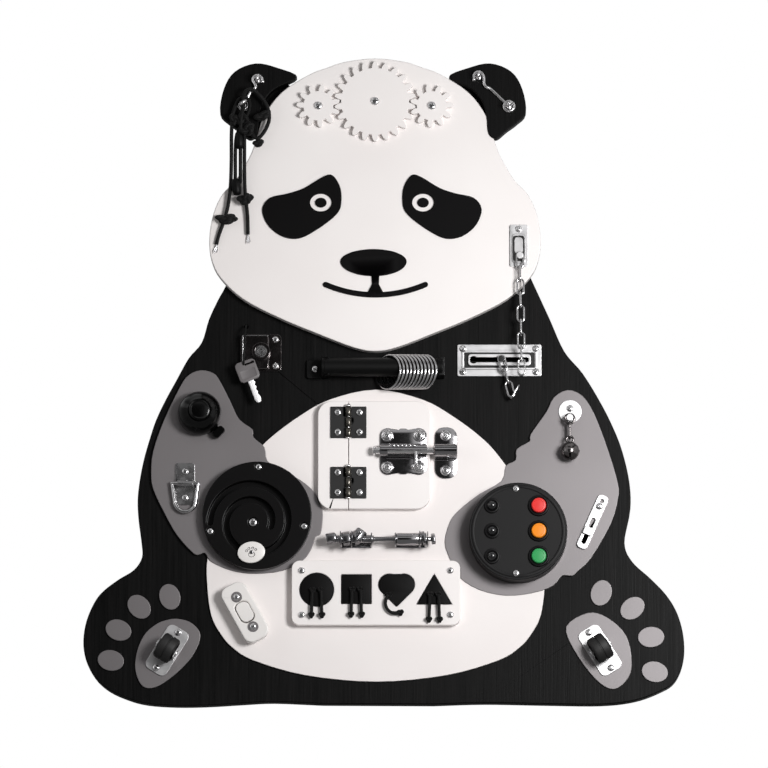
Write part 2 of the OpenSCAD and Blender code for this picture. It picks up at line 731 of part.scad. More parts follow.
module chain_lower() color(steel) on(slider_pos, h_lower)
    rotate([0, 0, -chain_lean(slider_pos, chain_low)]) {
        chain_run(3);
        // the lowest link turns back up
        translate([0, 3 * link_wire_r + link_peg_r - link_l - 2 * link_pitch, 0])
            rotate([0, 0, chain_up_turn]) translate([0, 3 * link_wire_r + 0.6 - link_l / 2, 0])
                rotate([0, 90, 0]) chain_link();
    }
function chain_lean(a, b) = atan2(a[0] - b[0], a[1] - b[1]);
slider_pos = slide_pos + [slider_x, 0];
module chain_slider() color(steel) on(slider_pos, h_body + slack) {
    cylinder(r = slider_head_r, h = slide_cavity - 2 * slack);
    cylinder(r = link_peg_r, h = h_lower + 2.4 - h_body);
    translate([0, 0, h_lower + link_wire_r + 0.4 - h_body - slack])
        cylinder(r = link_peg_r + 1, h = 1.2);
}

// ---- bar with rings ----

module ring_bar() color(black) difference() {
    union() {
        on(bar_pos, h_body) plate(17, 19, 3, 4);
        on([bar_x0 + 2, bar_pos[1]], h_body) plate(6, 2 * bar_r, 1, h_bar + bar_r - h_body - 3);
        on([bar_x1 + 2, bar_pos[1]], h_body) plate(6, 2 * bar_r, 1, h_bar + bar_r - h_body - 3);
        translate([bar_x0, -h_bar, bar_pos[1]]) rotate([0, 90, 0])
            cylinder(r = bar_r, h = bar_x1 + 3 - bar_x0);
    }
    screw_bores();
}
module bar_rings() color(steel) for (k = [0:ring_count - 1])
    translate([ring_x1 - k * ring_pitch, -h_bar, bar_pos[1] - ring_drop])
        rotate([0, 90, ring_lean]) ring(ring_r, ring_wire_r);

// ---- lock and key ----

module lock_case() color(steel) difference() {
    union() {
        on(lock_pos, h_body) plate(lock_w, lock_h, 5, lock_plate_t);
        on(lock_pos, h_body + 1) cylinder(r = barrel_r, h = lock_plate_t + barrel_h - 1);
    }
    on(lock_pos, h_body - e) cylinder(r = plug_r + run_fit, h = 30);
    screw_bores();
}
module lock_plug() color(steel) on(lock_pos, h_body + 0.3) difference() {
    cylinder(r = plug_r, h = lock_plate_t + barrel_h + 0.3);
    translate([-0.9, -4, 4]) cube([1.8, 8, 20]);
}
module key() on(key_pos, h_key - 2) rotate([0, 0, key_tilt]) {
    color(grey) difference() {
        plate(21, 21, 5, 4);
        translate([-1.5, 6.6, -e]) plate(12, 4.4, 1.5, 5);
    }
    color(steel) difference() {
        translate([-3, -34, 1]) cube([6, 24.5, 2]);
        for (k = [0:3]) translate([1.6, -32 + 4.5 * k, 0]) cube([2, 2, 4]);
    }
}
module key_cord() color(black) {
    tube(curve(key_cord_pts, 3), key_cord_r, 8);
}

// ---- bicycle bell ----

module bell_base() color(steel) on(bell_pos, h_arm) {
    cylinder(r = dome_r - 3, h = 2);
    cylinder(r = bell_post_r, h = 7 + dome_r - 1);
    translate([lever_pin[0], lever_pin[1], 0]) cylinder(r = lever_pin_r, h = 6);
}
module bell_dome() color(black) on(bell_pos, h_dome) difference() {
    union() {
        intersection() {
            sphere(dome_r);
            translate([0, 0, 25]) cube(50, center = true);
        }
        translate([0, 0, dome_r - 4]) cylinder(r = cap_r, h = 5.5);
    }
    difference() {
        sphere(dome_r - dome_wall);
        translate([0, 0, 5]) cylinder(r = bell_post_r + 2, h = 30);
    }
    translate([0, 0, -1]) cylinder(r = bell_post_r + run_fit, h = dome_r + 0.4);
}
module bell_lever() color(black) on(bell_pos + lever_pin, h_arm + 2.4) difference() {
    union() {
        linear_extrude(3) {
            circle(lever_pin_r + 2.2);
            rotate([0, 0, -58]) translate([0, -2.5]) square([12, 5]);
        }
        translate([5.9, -9.9, -0.6]) rotate([0, 0, -45]) plate(8, 13, 3, 6.6);
    }
    translate([0, 0, -e]) cylinder(r = lever_pin_r + run_fit, h = 4);
}

// ---- D-ring ----

module ring_plate() color(steel) difference() {
    union() {
        on(clip_pos, h_arm) plate(clip_w, 42.5, 3, clip_t);
        translate([clip_pos[0] - 8, -h_clip, clip_pos[1]]) rotate([0, 90, 0])
            cylinder(r = clip_wire_r + 1.6, h = 16);
        on(clip_pos, h_arm) plate(16, 2 * clip_wire_r + 3.2, 0.5, h_clip - h_arm);
    }
    translate([clip_pos[0] - 20, -h_clip, clip_pos[1]]) rotate([0, 90, 0])
        cylinder(r = clip_wire_r + run_fit, h = 40);
    on(clip_pos, -5) translate([0, 0, 0]) plate(60, 60, 1, h_arm + 5);
    screw_bores();
}
module d_ring() color(steel) on(clip_pos, h_clip) {
    rotate([0, 90, 0]) cylinder(r = clip_wire_r, h = 2 * clip_half, center = true);
    for (s = [-1, 1]) translate([s * clip_half, 0, 0]) {
        sphere(clip_wire_r + 0.1);
        rotate([90, 0, -s * atan((clip_half - clip_low) / clip_drop)])
            cylinder(r = clip_wire_r, h = norm([clip_half - clip_low, clip_drop]));
        translate([s * (clip_low - clip_half), -clip_drop, 0]) sphere(clip_wire_r + 0.1);
    }
    translate([0, -clip_drop, 0]) arc_wire(clip_low, clip_wire_r, 180, 180);
}

// ---- spiral maze ----

module maze_disc() color(black) difference() {
    on(maze_pos, h_arm) cylinder(r = maze_r, h = maze_t);
    on(spiral_pos, h_maze - groove_d) linear_extrude(groove_d + 1) {
        polygon(concat([for (s = [0:7:spiral_turn]) spiral_at(s, groove_r)],
            [for (s = [spiral_turn:-7:0]) spiral_at(s, -groove_r)]));
        translate(spiral_at(0, 0)) circle(groove_r);
        translate(spiral_at(spiral_turn, 0)) circle(groove_r);
    }
    on(spiral_pos, h_maze - 3) cylinder(r = hub_r + slack, h = 4);
    on(spiral_pos, h_maze - 9) cylinder(r = 2 + run_fit, h = 10);
    for (s = screw_spots) if (abs(s[2] - h_maze + screw_head_h) < e) on(s, s[2])
        cylinder(r = screw_head_r + 0.3, h = 4);
    screw_bores();
}
module maze_hub() color(steel) on(spiral_pos, h_maze - 2.8)
    pan_screw(head_r = hub_r, head_h = 2.6, shank_r = 2, shank_l = 6);
module maze_slider() color(white) on(spiral_pos, h_maze) translate(spiral_at(spiral_rest, 0)) {
    translate([0, 0, slack]) rotate([0, 0, 8]) plate(27.5, 21.5, 10.2, 3);
    translate([0, 0, slack - groove_d]) cylinder(r = groove_r - 0.5, h = groove_d + 0.1);
}

// ---- button box ----

module button_housing() color(black) on(box_pos, h_arm) difference() {
    union() {
        difference() {
            cylinder(r = box_r, h = box_h);
            translate([0, 0, -e]) cylinder(r = box_r - box_wall, h = box_h - box_wall + e);
        }
        for (j = [-1, 1]) translate([box_screw_x, j * (box_screw - 2), 0])
            cylinder(r = 6, h = box_h - 1);
        for (k = [-1:1]) {
            translate([button_x, k * row_pitch, box_h - 1]) cylinder(r = button_r + 2.5, h = 3.5);
            translate([dome_x, k * row_pitch, box_h - 1]) cylinder(r = led_r + 2.2, h = 3);
        }
    }
    for (k = [-1:1]) {
        translate([button_x, k * row_pitch, 10]) cylinder(r = button_r + slack, h = 40);
        translate([dome_x, k * row_pitch, 10]) cylinder(r = led_r + run_fit, h = 40);
    }
    for (j = [-1, 1]) translate([box_screw_x, j * box_screw, box_h - screw_l - 0.4])
        cylinder(r = screw_r + run_fit, h = 9);
}
module button(k) on(box_pos, h_arm) translate([button_x, k * row_pitch, box_h - box_wall]) {
    translate([0, 0, -2.4]) cylinder(r = button_r + 1.6, h = 2);
    translate([0, 0, -2.4]) cylinder(r = button_r, h = 10.4);
    translate([0, 0, 8]) cylinder(r1 = button_r, r2 = button_r - 1, h = 1);
}
module button_red() color([0.8, 0.1, 0.1]) button(1);
module button_orange() color([0.9, 0.4, 0.1]) button(0);
module button_green() color([0.1, 0.6, 0.2]) button(-1);
module indicator_domes() color(grey) for (k = [-1:1])
    on(box_pos, h_arm) translate([dome_x, k * row_pitch, box_h - box_wall]) {
        translate([0, 0, -2.2]) cylinder(r = led_r + 1.4, h = 2);
        translate([0, 0, -2.2]) cylinder(r = led_r, h = 7.4);
        intersection() {
            translate([0, 0, 5.2]) sphere(led_r);
            translate([0, 0, 10]) cube(10.2, center = true);
        }
    }
module light_board() color([0.1, 0.4, 0.2]) on(box_pos, h_arm) {
    difference() {
        translate([0, 0, board_h]) cylinder(r = box_r - box_wall - 1, h = pcb_t);
        for (j = [-1, 1]) translate([box_screw_x, j * (box_screw - 2), 0])
            cylinder(r = 6.5, h = box_h);
    }
    plate(62, 30, 2, board_h);
    for (k = [-1:1]) translate([button_x, k * row_pitch, board_h])
        plate(7, 7, 0.5, box_h - box_wall - board_h - 2.4 - button_travel - 0.3);
    for (k = [-1:1]) translate([dome_x, k * row_pitch, board_h])
        cylinder(r = 2.5, h = box_h - box_wall - board_h - 2.2);
}

// ---- ball bell ----

module jingle_hanger() color(steel) difference() {
    union() {
        on(jingle_pos, h_arm) cylinder(r = 11.5, h = 1.5);
        on(jingle_pin, h_arm) cylinder(r = jingle_pin_r, h = h_jingle - h_arm + 2);
        on(jingle_pin, h_jingle + 1.9) cylinder(r = jingle_pin_r + 1.4, h = 1.2);
    }
    screw_bores();
}
module jingle_bell() color(steel) on(jingle_pin, h_jingle) {
    translate([0, -1.2, 0]) ring(4.6, 1.3);
    translate([0, -13, 0]) rotate([0, 90, 0]) {
        for (s = [-1, 1]) translate([s * 3.2, 0, 0]) rotate([90, 0, 0])
            cylinder(r = 1.2, h = 10, center = true);
        translate([0, 5, 0]) arc_wire(3.2, 1.2, 0, 180);
        translate([0, -5, 0]) arc_wire(3.2, 1.2, 180, 180);
    }
    translate([0, ball_z + ball_r + 2.2, 0]) ring(3.4, 1.2);
    difference() {
        translate([0, ball_z, 0]) union() {
            sphere(ball_r);
            rotate([90, 0, 0]) cylinder(r = ball_r + 0.5, h = 1.6, center = true);
        }
        translate([0, ball_z, 0]) sphere(ball_r - 1.2);
        translate([-1, ball_z - ball_r - 2, -12]) cube([2, ball_r - 1, 24]);
    }
    translate([0, ball_z - ball_r + 1.3 + 3, 0]) sphere(2.9);
}

// ---- slide strip ----

module slide_strip() color(steel) difference() {
    on(strip_pos, h_arm) rotate([0, 0, strip_tilt]) difference() {
        plate(strip_w, strip_l, 4, strip_in + strip_t);
        translate([0, -11, -e]) plate(strip_w - 2.4, 34, 1, strip_in);
        translate([0, -10, 0]) plate(4.4, 28, 2.1, 9);
        translate([0, 23, -e]) cylinder(r = 2, h = 9);
    }
    screw_bores();
}
module strip_slider() color(steel) on(strip_pos, h_arm) rotate([0, 0, strip_tilt])
    translate([0, tab_y, 0]) {
        translate([0, 0, 0.3]) plate(7.4, 8, 0.5, strip_in - 0.6);
        translate([0, 0, 0.3]) plate(3.6, 6, 0.5, 4);
        translate([0, 0, strip_in + strip_t + 0.3]) plate(9, 8, 1, 3);
    }

// ---- rocker switch ----

module switch_body() color(white) difference() {
    on(switch_pos, h_belly) rotate([0, 0, switch_tilt]) difference() {
        plate(switch_w, switch_l, 9, switch_h);
        translate([0, 0, 4]) plate(rocker_w + 2 * slack, rocker_l + 1.6, rocker_round, 20);
        translate([0, 0, switch_h - 3]) rotate([0, 90, 0])
            cylinder(r = rocker_pin_r + run_fit, h = rocker_w + 6, center = true);
    }
    screw_bores();
}
module switch_rocker() color(white) on(switch_pos, h_belly + switch_h - 3)
    rotate([0, 0, switch_tilt]) {
        intersection() {
            rotate([90, 0, 90]) linear_extrude(rocker_w + 1, center = true) polygon([[-10.5, -2.5],
                [-4, -5.5], [4, -5.5], [10.5, -2.5], [10.5, 5], [0, 3.6], [-10.5, 5]]);
            translate([0, 0, -10]) plate(rocker_w, rocker_l, rocker_round, 20);
        }
        rotate([0, 90, 0]) cylinder(r = rocker_pin_r, h = rocker_w + 5, center = true);
    }

// ---- door ----

module door_half(x0, x1) {
    on([0, 0], h_belly) linear_extrude(door_t) intersection() {
        translate(door_pos) rounded(door_w, door_h, door_round);
        translate([x0, -300]) square([x1 - x0, 300]);
    }
}
module door_screw_spots(x, zs) {
    for (z = zs) on([x, z], h_door + hinge_t) children();
}
hinge_screw_z = [for (z = hinge_z) for (s = [-1, 1]) z + 10 * s];
module door_jamb() color(white) difference() {
    door_half(-100, split_x - split_gap / 2);
    door_screw_spots(split_x - 10.5, hinge_screw_z) translate([0, 0, -6.5])
        cylinder(r = screw_r + run_fit, h = 7);
}
module door_leaf() color(white) difference() {
    door_half(split_x + split_gap / 2, 100);
    door_screw_spots(split_x + 11, hinge_screw_z) translate([0, 0, -6.5])
        cylinder(r = screw_r + run_fit, h = 7);
    for (i = [-1, 1]) for (j = [-1, 1]) on([bolt_x + 16 * i, bolt_z + 16 * j], h_door - 5)
        cylinder(r = screw_r + run_fit, h = 6);
}
module hinge_plate(side) {
    for (z = hinge_z) on([split_x + side * (2 + hinge_w / 2), z], h_door)
        plate(hinge_w - 2, leaf_h, 1, hinge_t);
}
module hinge_knuckle(z, len) {
    translate([split_x, -h_pin, z - len / 2]) cylinder(r = knuckle_r, h = len);
}
module hinge_jamb_leaves() color(black) {
    third = leaf_h / 3;
    hinge_plate(-1);
    for (z = hinge_z) {
        for (s = [-1, 1]) {
            hinge_knuckle(z + s * third, third - 0.6);
            on([split_x - 2.2, z + s * third], h_door) plate(4.4, third - 0.6, 0.2, hinge_t);
            on([split_x - 1.9, z + s * third], h_door) plate(2.2, third - 0.6, 0.2, knuckle_r);
        }
        translate([split_x, -h_pin, z - leaf_h / 2]) cylinder(r = hinge_pin_r, h = leaf_h);
    }
    door_screw_spots(split_x - 10.5, hinge_screw_z) pan_screw(shank_l = 6, head_r = 3.2);
}
module hinge_door_leaves() color(black) {
    third = leaf_h / 3;
    difference() {
        union() {
            hinge_plate(1);
            for (z = hinge_z) {
                hinge_knuckle(z, third - 0.6);
                on([split_x + 2.2, z], h_door) plate(4.4, third - 0.6, 0.2, hinge_t);
                on([split_x + 1.9, z], h_door) plate(2.2, third - 0.6, 0.2, knuckle_r);
            }
        }
        for (z = hinge_z) translate([split_x, -h_pin, z - leaf_h]) cylinder(r = hinge_pin_r + run_fit, h = 2 * leaf_h);
    }
    door_screw_spots(split_x + 11, hinge_screw_z) pan_screw(shank_l = 6, head_r = 3.2);
}
module bolt_axis(x) {
    translate([x, -h_bolt, bolt_z]) rotate([0, 90, 0]) children();
}
module bolt_plate() color(steel) {
    difference() {
        union() {
            on([bolt_x, bolt_z], h_door) plate(bolt_plate_w, bolt_plate_w, 7, 1.5);
            bolt_axis(bolt_x - bolt_plate_w / 2) cylinder(r = sleeve_r, h = bolt_plate_w);
        }
        bolt_axis(-50) cylinder(r = bolt_r + run_fit, h = 150);
        translate([11.5, -h_bolt - 20, bolt_z - 20]) cube([33, 22.3, 20]);
    }
    for (i = [-1, 1]) for (j = [-1, 1]) on([bolt_x + 16 * i, bolt_z + 16 * j], h_door + 1.5)
        pan_screw(shank_l = 6, head_r = 4.2);
}
module bolt_rod() color(steel) {
    bolt_axis(rod_x0) cylinder(r = bolt_r, h = rod_x1 - rod_x0);
    bolt_axis(rod_x0 - 3) cylinder(r = bolt_r + 1, h = 3);
    translate([lever_x, -h_bolt, bolt_z - lever_l]) cylinder(r = 2, h = lever_l);
    translate([lever_x, -h_bolt, bolt_z - lever_l]) sphere(2.6);
}
module bolt_keeper() color(steel) difference() {
    union() {
        on([(keeper_x0 + keeper_x1) / 2, bolt_z], h_belly)
            plate(keeper_w, keeper_l, 9, 1.5);
        bolt_axis(keeper_x0) cylinder(r = sleeve_r + 0.5, h = keeper_x1 - keeper_x0);
        on([(keeper_x0 + keeper_x1) / 2, bolt_z], h_belly)
            plate(keeper_w, 2 * sleeve_r + 1, 0.2, h_bolt - h_belly);
    }
    bolt_axis(keeper_x0 - 1) cylinder(r = sleeve_r - 1, h = 40);
    on([(keeper_x0 + keeper_x1) / 2, bolt_z], h_belly + 1.5)
        plate(2 * keeper_w, 2 * sleeve_r - 2, 0.2, h_bolt - h_belly - 1.5);
    screw_bores();
}

// ---- nut and bolt set ----

module rod_axis(x) {
    translate([x, -h_rod, rod_z]) rotate([0, 90, 0]) children();
}
module threaded_rod() color(steel) {
    rod_axis(thread_x0) cylinder(r = thread_r, h = thread_l);
    rod_axis(thin_x0) cylinder(r = thin_r, h = thin_l);
    for (x = nut_x) rod_axis(x) cylinder(r = 7, h = 5, $fn = 6);
    for (x = washer_x) rod_axis(x) cylinder(r = 8, h = 1.4);
    rod_axis(sleeve_x0) cylinder(r = 6, h = sleeve_l);
    rod_axis(end_nut_x) cylinder(r = 6, h = 4, $fn = 6);
    for (x = ear_x) translate([x - 0.75, -h_rod, rod_z]) {
        rotate([0, 90, 0]) cylinder(r = 6.5, h = 1.5);
        translate([0, 0, -6.5]) cube([1.5, h_rod - h_belly, 13]);
    }
    for (s = [-1, 1]) on([s * 27, rod_z], h_belly) plate(31.5, 13, 1, 1.5);
}
module wing_nut() color(steel) rod_axis(wing_x0) difference() {
    union() {
        cylinder(r = 7, h = 11);
        for (s = [0, 180]) rotate([0, 0, s + 35]) translate([5, -1.5, 2]) {
            cube([3.5, 3, 8]);
            translate([3.5, 3, 4.5]) rotate([90, 0, 0]) cylinder(r = 4.5, h = 3);
        }
    }
    translate([0, 0, -e]) cylinder(r = thread_r + run_fit, h = 12);
}

// ---- shape puzzle ----

module shape_outline(k, grow) {
    if (k == 0) circle(16.5 + grow);
    if (k == 1) square(28.8 + 2 * grow, center = true);
    if (k == 2) {
        rotate([0, 0, 45]) square(20.6 + 2 * grow, center = true);
        for (s = [-1, 1]) translate([s * 7.28, 7.28]) circle(10.3 + grow);
    }
    if (k == 3) polygon([for (a = [90, 210, 330]) (19.5 + 2 * grow) * [cos(a), sin(a)]]);
}
module shape_board() color(white) difference() {
    on(shape_pos, h_belly) plate(shape_w, shape_h, 8, shape_t);
    for (k = [0:3]) on(peg_at[k], h_shape - peg_depth) linear_extrude(20) shape_outline(k, peg_gap);
    screw_bores();
}
// a flat shape with its knotted pull: stiff strands of cord over the front, each with a knot
pull_r = 1.6;
pull_l = 25;
knot_r = 2.3;
module peg(k) color(black) on(peg_at[k], h_shape - peg_depth) {
    top = peg_depth + peg_proud + pull_r + 0.1;
    spots = k == 2 ? [[-7.5, -4]] : [[-4, -1], [4, -1]];
    linear_extrude(peg_depth + peg_proud) shape_outline(k, 0);
    for (p = spots) {
        translate([p[0], p[1], peg_depth]) cylinder(r = pull_r - 0.2, h = peg_proud + pull_r);
        translate([p[0], p[1], top]) sphere(knot_r);
    }
    if (k == 2) {
        translate([-0.6, -12, top]) arc_wire(10.5, pull_r + 0.2, 131, 165);
        translate([3.9, -21.5, top]) sphere(knot_r + 0.1);
    } else {
        for (s = [-1, 1]) translate([s * 4, -1, top]) rotate([90, 0, s * 3]) {
            cylinder(r = pull_r, h = pull_l);
            translate([0, 0, pull_l]) sphere(knot_r);
        }
    }
}
module circle_peg() {
    peg(0);
}
module square_peg() {
    peg(1);
}
module heart_peg() {
    peg(2);
}
module triangle_peg() {
    peg(3);
}

// ---- casters on the soles ----

module caster_frame(s) {
    mirror([s < 0 ? 1 : 0, 0, 0]) on(caster_pos, h_pad) rotate([0, 0, caster_tilt]) children();
}
module caster_forks() color(steel) difference() {
    for (s = [-1, 1]) caster_frame(s) {
        plate(2 * caster_half + 9, wheel_w + 7, 6, 1.5);
        for (j = [-1, 1]) translate([-5, j * (wheel_w / 2 + 1.4) - 0.6, 0])
            cube([10, 1.2, h_wheel - h_pad + 5]);
        translate([0, 0, h_wheel - h_pad]) rotate([90, 0, 0])
            cylinder(r = caster_axle_r, h = wheel_w + 4.6, center = true);
        for (j = [-1, 1]) translate([0, j * (wheel_w / 2 + 2.4), h_wheel - h_pad])
            rotate([90, 0, 0]) cylinder(r = caster_axle_r + 1.2, h = 1.2, center = true);
    }
    screw_bores();
}
module caster_wheel(s) color(black) caster_frame(s) translate([0, 0, h_wheel - h_pad])
    rotate([90, 0, 0]) difference() {
        cylinder(r = wheel_r, h = wheel_w, center = true);
        cylinder(r = caster_axle_r + run_fit, h = wheel_w + 1, center = true);
        for (j = [-1, 1]) translate([0, 0, j * wheel_w / 2]) difference() {
            cylinder(r = wheel_r - 3, h = 3, center = true);
            cylinder(r = caster_axle_r + 2.5, h = 4, center = true);
        }
    }
module caster_wheel_left() {
    caster_wheel(-1);
}
module caster_wheel_right() {
    caster_wheel(1);
}

body_board();
head_board();
ear_boards();
face_patches();
belly_panel();
limb_panels();
board_screws();
drive_gear();
left_gear();
right_gear();
cabin_hook_right();
cabin_hook_left();
ear_cord();
chain_plates();
chain_upper();
chain_lower();
chain_slider();
ring_bar();
bar_rings();
lock_case();
lock_plug();
key();
key_cord();
bell_base();
bell_dome();
bell_lever();
ring_plate();
d_ring();
maze_disc();
maze_hub();
maze_slider();
button_housing();
button_red();
button_orange();
button_green();
indicator_domes();
light_board();
jingle_hanger();
jingle_bell();
slide_strip();
strip_slider();
switch_body();
switch_rocker();
door_jamb();
door_leaf();
hinge_jamb_leaves();
hinge_door_leaves();
bolt_plate();
bolt_rod();
bolt_keeper();
threaded_rod();
wing_nut();
shape_board();
circle_peg();
square_peg();
heart_peg();
triangle_peg();
caster_forks();
caster_wheel_left();
caster_wheel_right();
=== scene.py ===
"""Dresses the panda busy board: its boards, its hardware, its cords and the studio round it."""

import logging
import math
from dataclasses import dataclass, field
from enum import Enum
from typing import Sequence

import bpy
from mathutils import Matrix, Vector


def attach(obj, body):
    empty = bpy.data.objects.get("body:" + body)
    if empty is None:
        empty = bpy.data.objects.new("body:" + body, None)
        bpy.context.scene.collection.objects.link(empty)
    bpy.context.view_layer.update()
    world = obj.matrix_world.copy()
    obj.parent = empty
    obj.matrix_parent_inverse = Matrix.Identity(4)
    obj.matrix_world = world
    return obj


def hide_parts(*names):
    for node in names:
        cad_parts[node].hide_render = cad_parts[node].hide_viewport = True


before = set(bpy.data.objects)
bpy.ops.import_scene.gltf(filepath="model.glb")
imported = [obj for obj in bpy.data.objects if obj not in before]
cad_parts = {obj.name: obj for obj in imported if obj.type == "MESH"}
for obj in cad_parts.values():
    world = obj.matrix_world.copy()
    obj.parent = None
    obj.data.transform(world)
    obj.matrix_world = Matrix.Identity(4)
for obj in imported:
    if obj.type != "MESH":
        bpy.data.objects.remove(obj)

LOG = logging.getLogger("busy_board")
MM = 0.001

# Heights of the front faces above the flat back, in millimetres.
H_BODY = 15.0
H_PAD = 17.0
H_BELLY = 18.0
H_ARM = 19.0
H_DOOR = 27.0
H_HEAD = 27.0
H_SHAPE = 28.0
H_EAR = 29.0
H_MAZE = 31.0
H_BOX = 44.0
SLIDE_WALL = 1.4
CLIP_T = 1.5
STRIP_IN = 1.6
STRIP_T = 1.4
SWITCH_H = 14.0


class Body(str, Enum):
    """The moving bodies that pieces ride on."""

    BOARD = "board"
    DOOR = "door"


# ---- places and shapes -------------------------------------------------------------------


def at(x: float, z: float, h: float) -> Vector:
    """Returns the point at x and z, h in front of the back, from millimetres to metres."""
    return Vector((x * MM, -h * MM, z * MM))


def deselect_all() -> None:
    """Leaves object mode with nothing selected."""
    if bpy.context.object and bpy.context.object.mode != "OBJECT":
        bpy.ops.object.mode_set(mode="OBJECT")
    bpy.ops.object.select_all(action="DESELECT")


def pick(piece: bpy.types.Object) -> bpy.types.Object:
    """Makes one object the only selected one, and active.

    Args:
        piece: the object to pick.

    Returns:
        The same object.
    """
    deselect_all()
    piece.select_set(True)
    bpy.context.view_layer.objects.active = piece
    return piece


def modify(piece: bpy.types.Object, kind: str, **settings: object) -> None:
    """Adds a modifier and applies it.

    Args:
        piece: the object that gets it.
        kind: the modifier's type.
        settings: its settings.
    """
    pick(piece)
    modifier = piece.modifiers.new(kind.title(), kind)
    for key, value in settings.items():
        setattr(modifier, key, value)
    bpy.ops.object.modifier_apply(modifier=modifier.name)


def settle(piece: bpy.types.Object) -> bpy.types.Object:
    """Puts a piece's place into its mesh, so that its object sits at the origin.

    Args:
        piece: the object to settle.

    Returns:
        The same object.
    """
    pick(piece)
    bpy.ops.object.transform_apply(location=True, rotation=True, scale=True)
    return piece


def smooth(piece: bpy.types.Object, degrees: float = 32.0) -> bpy.types.Object:
    """Shades a piece smooth up to an angle between faces.

    Args:
        piece: the object to shade.
        degrees: the largest angle that is shaded smooth.

    Returns:
        The same object.
    """
    pick(piece)
    bpy.ops.object.shade_smooth_by_angle(angle=math.radians(degrees))
    return piece


def heal_normals(piece: bpy.types.Object) -> None:
    """Merges doubles and turns all faces outwards."""
    pick(piece)
    bpy.ops.object.mode_set(mode="EDIT")
    bpy.ops.mesh.select_all(action="SELECT")
    bpy.ops.mesh.remove_doubles(threshold=0.00001)
    bpy.ops.mesh.normals_make_consistent(inside=False)
    bpy.ops.object.mode_set(mode="OBJECT")


def join(pieces: Sequence[bpy.types.Object], name: str) -> bpy.types.Object:
    """Joins pieces of one finish into one object.

    Args:
        pieces: the objects to join.
        name: the name of the result.

    Returns:
        The joined object.
    """
    deselect_all()
    for piece in pieces:
        piece.select_set(True)
    bpy.context.view_layer.objects.active = pieces[0]
    if len(pieces) > 1:
        bpy.ops.object.join()
    pieces[0].name = name
    return pieces[0]


def eased_copy(node: str, name: str, width: float, segments: int = 2,
               angle: float = 35.0) -> bpy.types.Object:
    """Copies a CAD node's shape, merges its triangles and rounds its sharp edges.

    Args:
        node: the CAD node's name.
        name: the new piece's name.
        width: width of the rounding, in millimetres.
        segments: how many faces go round an edge.
        angle: edges sharper than this many degrees are rounded.

    Returns:
        The new object.
    """
    piece = bpy.data.objects.new(name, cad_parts[node].data.copy())
    bpy.context.scene.collection.objects.link(piece)
    piece.data.materials.clear()
    pick(piece)
    bpy.ops.object.mode_set(mode="EDIT")
    bpy.ops.mesh.select_all(action="SELECT")
    bpy.ops.mesh.remove_doubles(threshold=0.000005)
    bpy.ops.mesh.dissolve_limited(angle_limit=math.radians(0.5))
    bpy.ops.object.mode_set(mode="OBJECT")
    if width > 0:
        modify(piece, "BEVEL", width=width * MM, segments=segments, limit_method="ANGLE",
               angle_limit=math.radians(angle), use_clamp_overlap=False)
    smooth(piece, 30.0)
    modify(piece, "WEIGHTED_NORMAL", keep_sharp=True)
    return piece


# ---- finishes ----------------------------------------------------------------------------


def hex_colour(code: str) -> tuple[float, float, float, float]:
    """Turns an sRGB hex value into Blender's linear colour.

    Args:
        code: six hex digits after a hash sign.

    Returns:
        Linear red, green, blue and full alpha.
    """
    parts = [int(code[i:i + 2], 16) / 255 for i in (1, 3, 5)]
    linear = [c / 12.92 if c <= 0.04045 else ((c + 0.055) / 1.055) ** 2.4 for c in parts]
    return (linear[0], linear[1], linear[2], 1.0)


def add(material: bpy.types.Material, kind: str, inputs: dict[str | int, object] | None = None,
        **settings: object) -> bpy.types.Node:
    """Adds a node with its settings, its values and its links.

    Args:
        material: the material, or another thing with a node tree, that gets the node.
        kind: the node's type.
        inputs: a value or an output socket for each named input.
        settings: the node's own settings.

    Returns:
        The new node.
    """
    tree = material.node_tree
    node = tree.nodes.new(kind)
    for key, value in settings.items():
        setattr(node, key, value)
    for key, value in (inputs or {}).items():
        if isinstance(value, bpy.types.NodeSocket):
            tree.links.new(value, node.inputs[key])
        else:
            node.inputs[key].default_value = value
    return node


@dataclass(frozen=True)
class Finish:
    """A surface finish with its name and its plain values."""

    name: str
    colour: str
    roughness: float = 0.5
    specular: float = 0.5

    def start(self) -> tuple[bpy.types.Material, bpy.types.Node]:
        """Returns a new material and its shader, with the plain values set on the shader."""
        material = bpy.data.materials.new(self.name)
        material.use_nodes = True
        shader = material.node_tree.nodes["Principled BSDF"]
        shader.inputs["Base Color"].default_value = hex_colour(self.colour)
        shader.inputs["Roughness"].default_value = self.roughness
        if self.specular != 0.5:
            shader.inputs["Specular IOR Level"].default_value = self.specular
        material.diffuse_color = hex_colour(self.colour)
        return material, shader

    def place(self, material: bpy.types.Material, scale: tuple[float, float, float],
              source: str = "Object") -> bpy.types.NodeSocket:
        """Returns pattern coordinates, repeats to a metre along each axis."""
        where = add(material, "ShaderNodeTexCoord")
        mapping = add(material, "ShaderNodeMapping",
                      {"Vector": where.outputs[source], "Scale": scale})
        return mapping.outputs["Vector"]

    def bump(self, material: bpy.types.Material, shader: bpy.types.Node,
             height: bpy.types.NodeSocket, depth: float, strength: float = 1.0) -> None:
        """Raises the surface by a pattern, depth in metres."""
        node = add(material, "ShaderNodeBump",
                   {"Height": height, "Distance": depth, "Strength": strength})
        material.node_tree.links.new(node.outputs["Normal"], shader.inputs["Normal"])

    def build(self) -> bpy.types.Material:
        """Returns the finished material."""
        return self.start()[0]


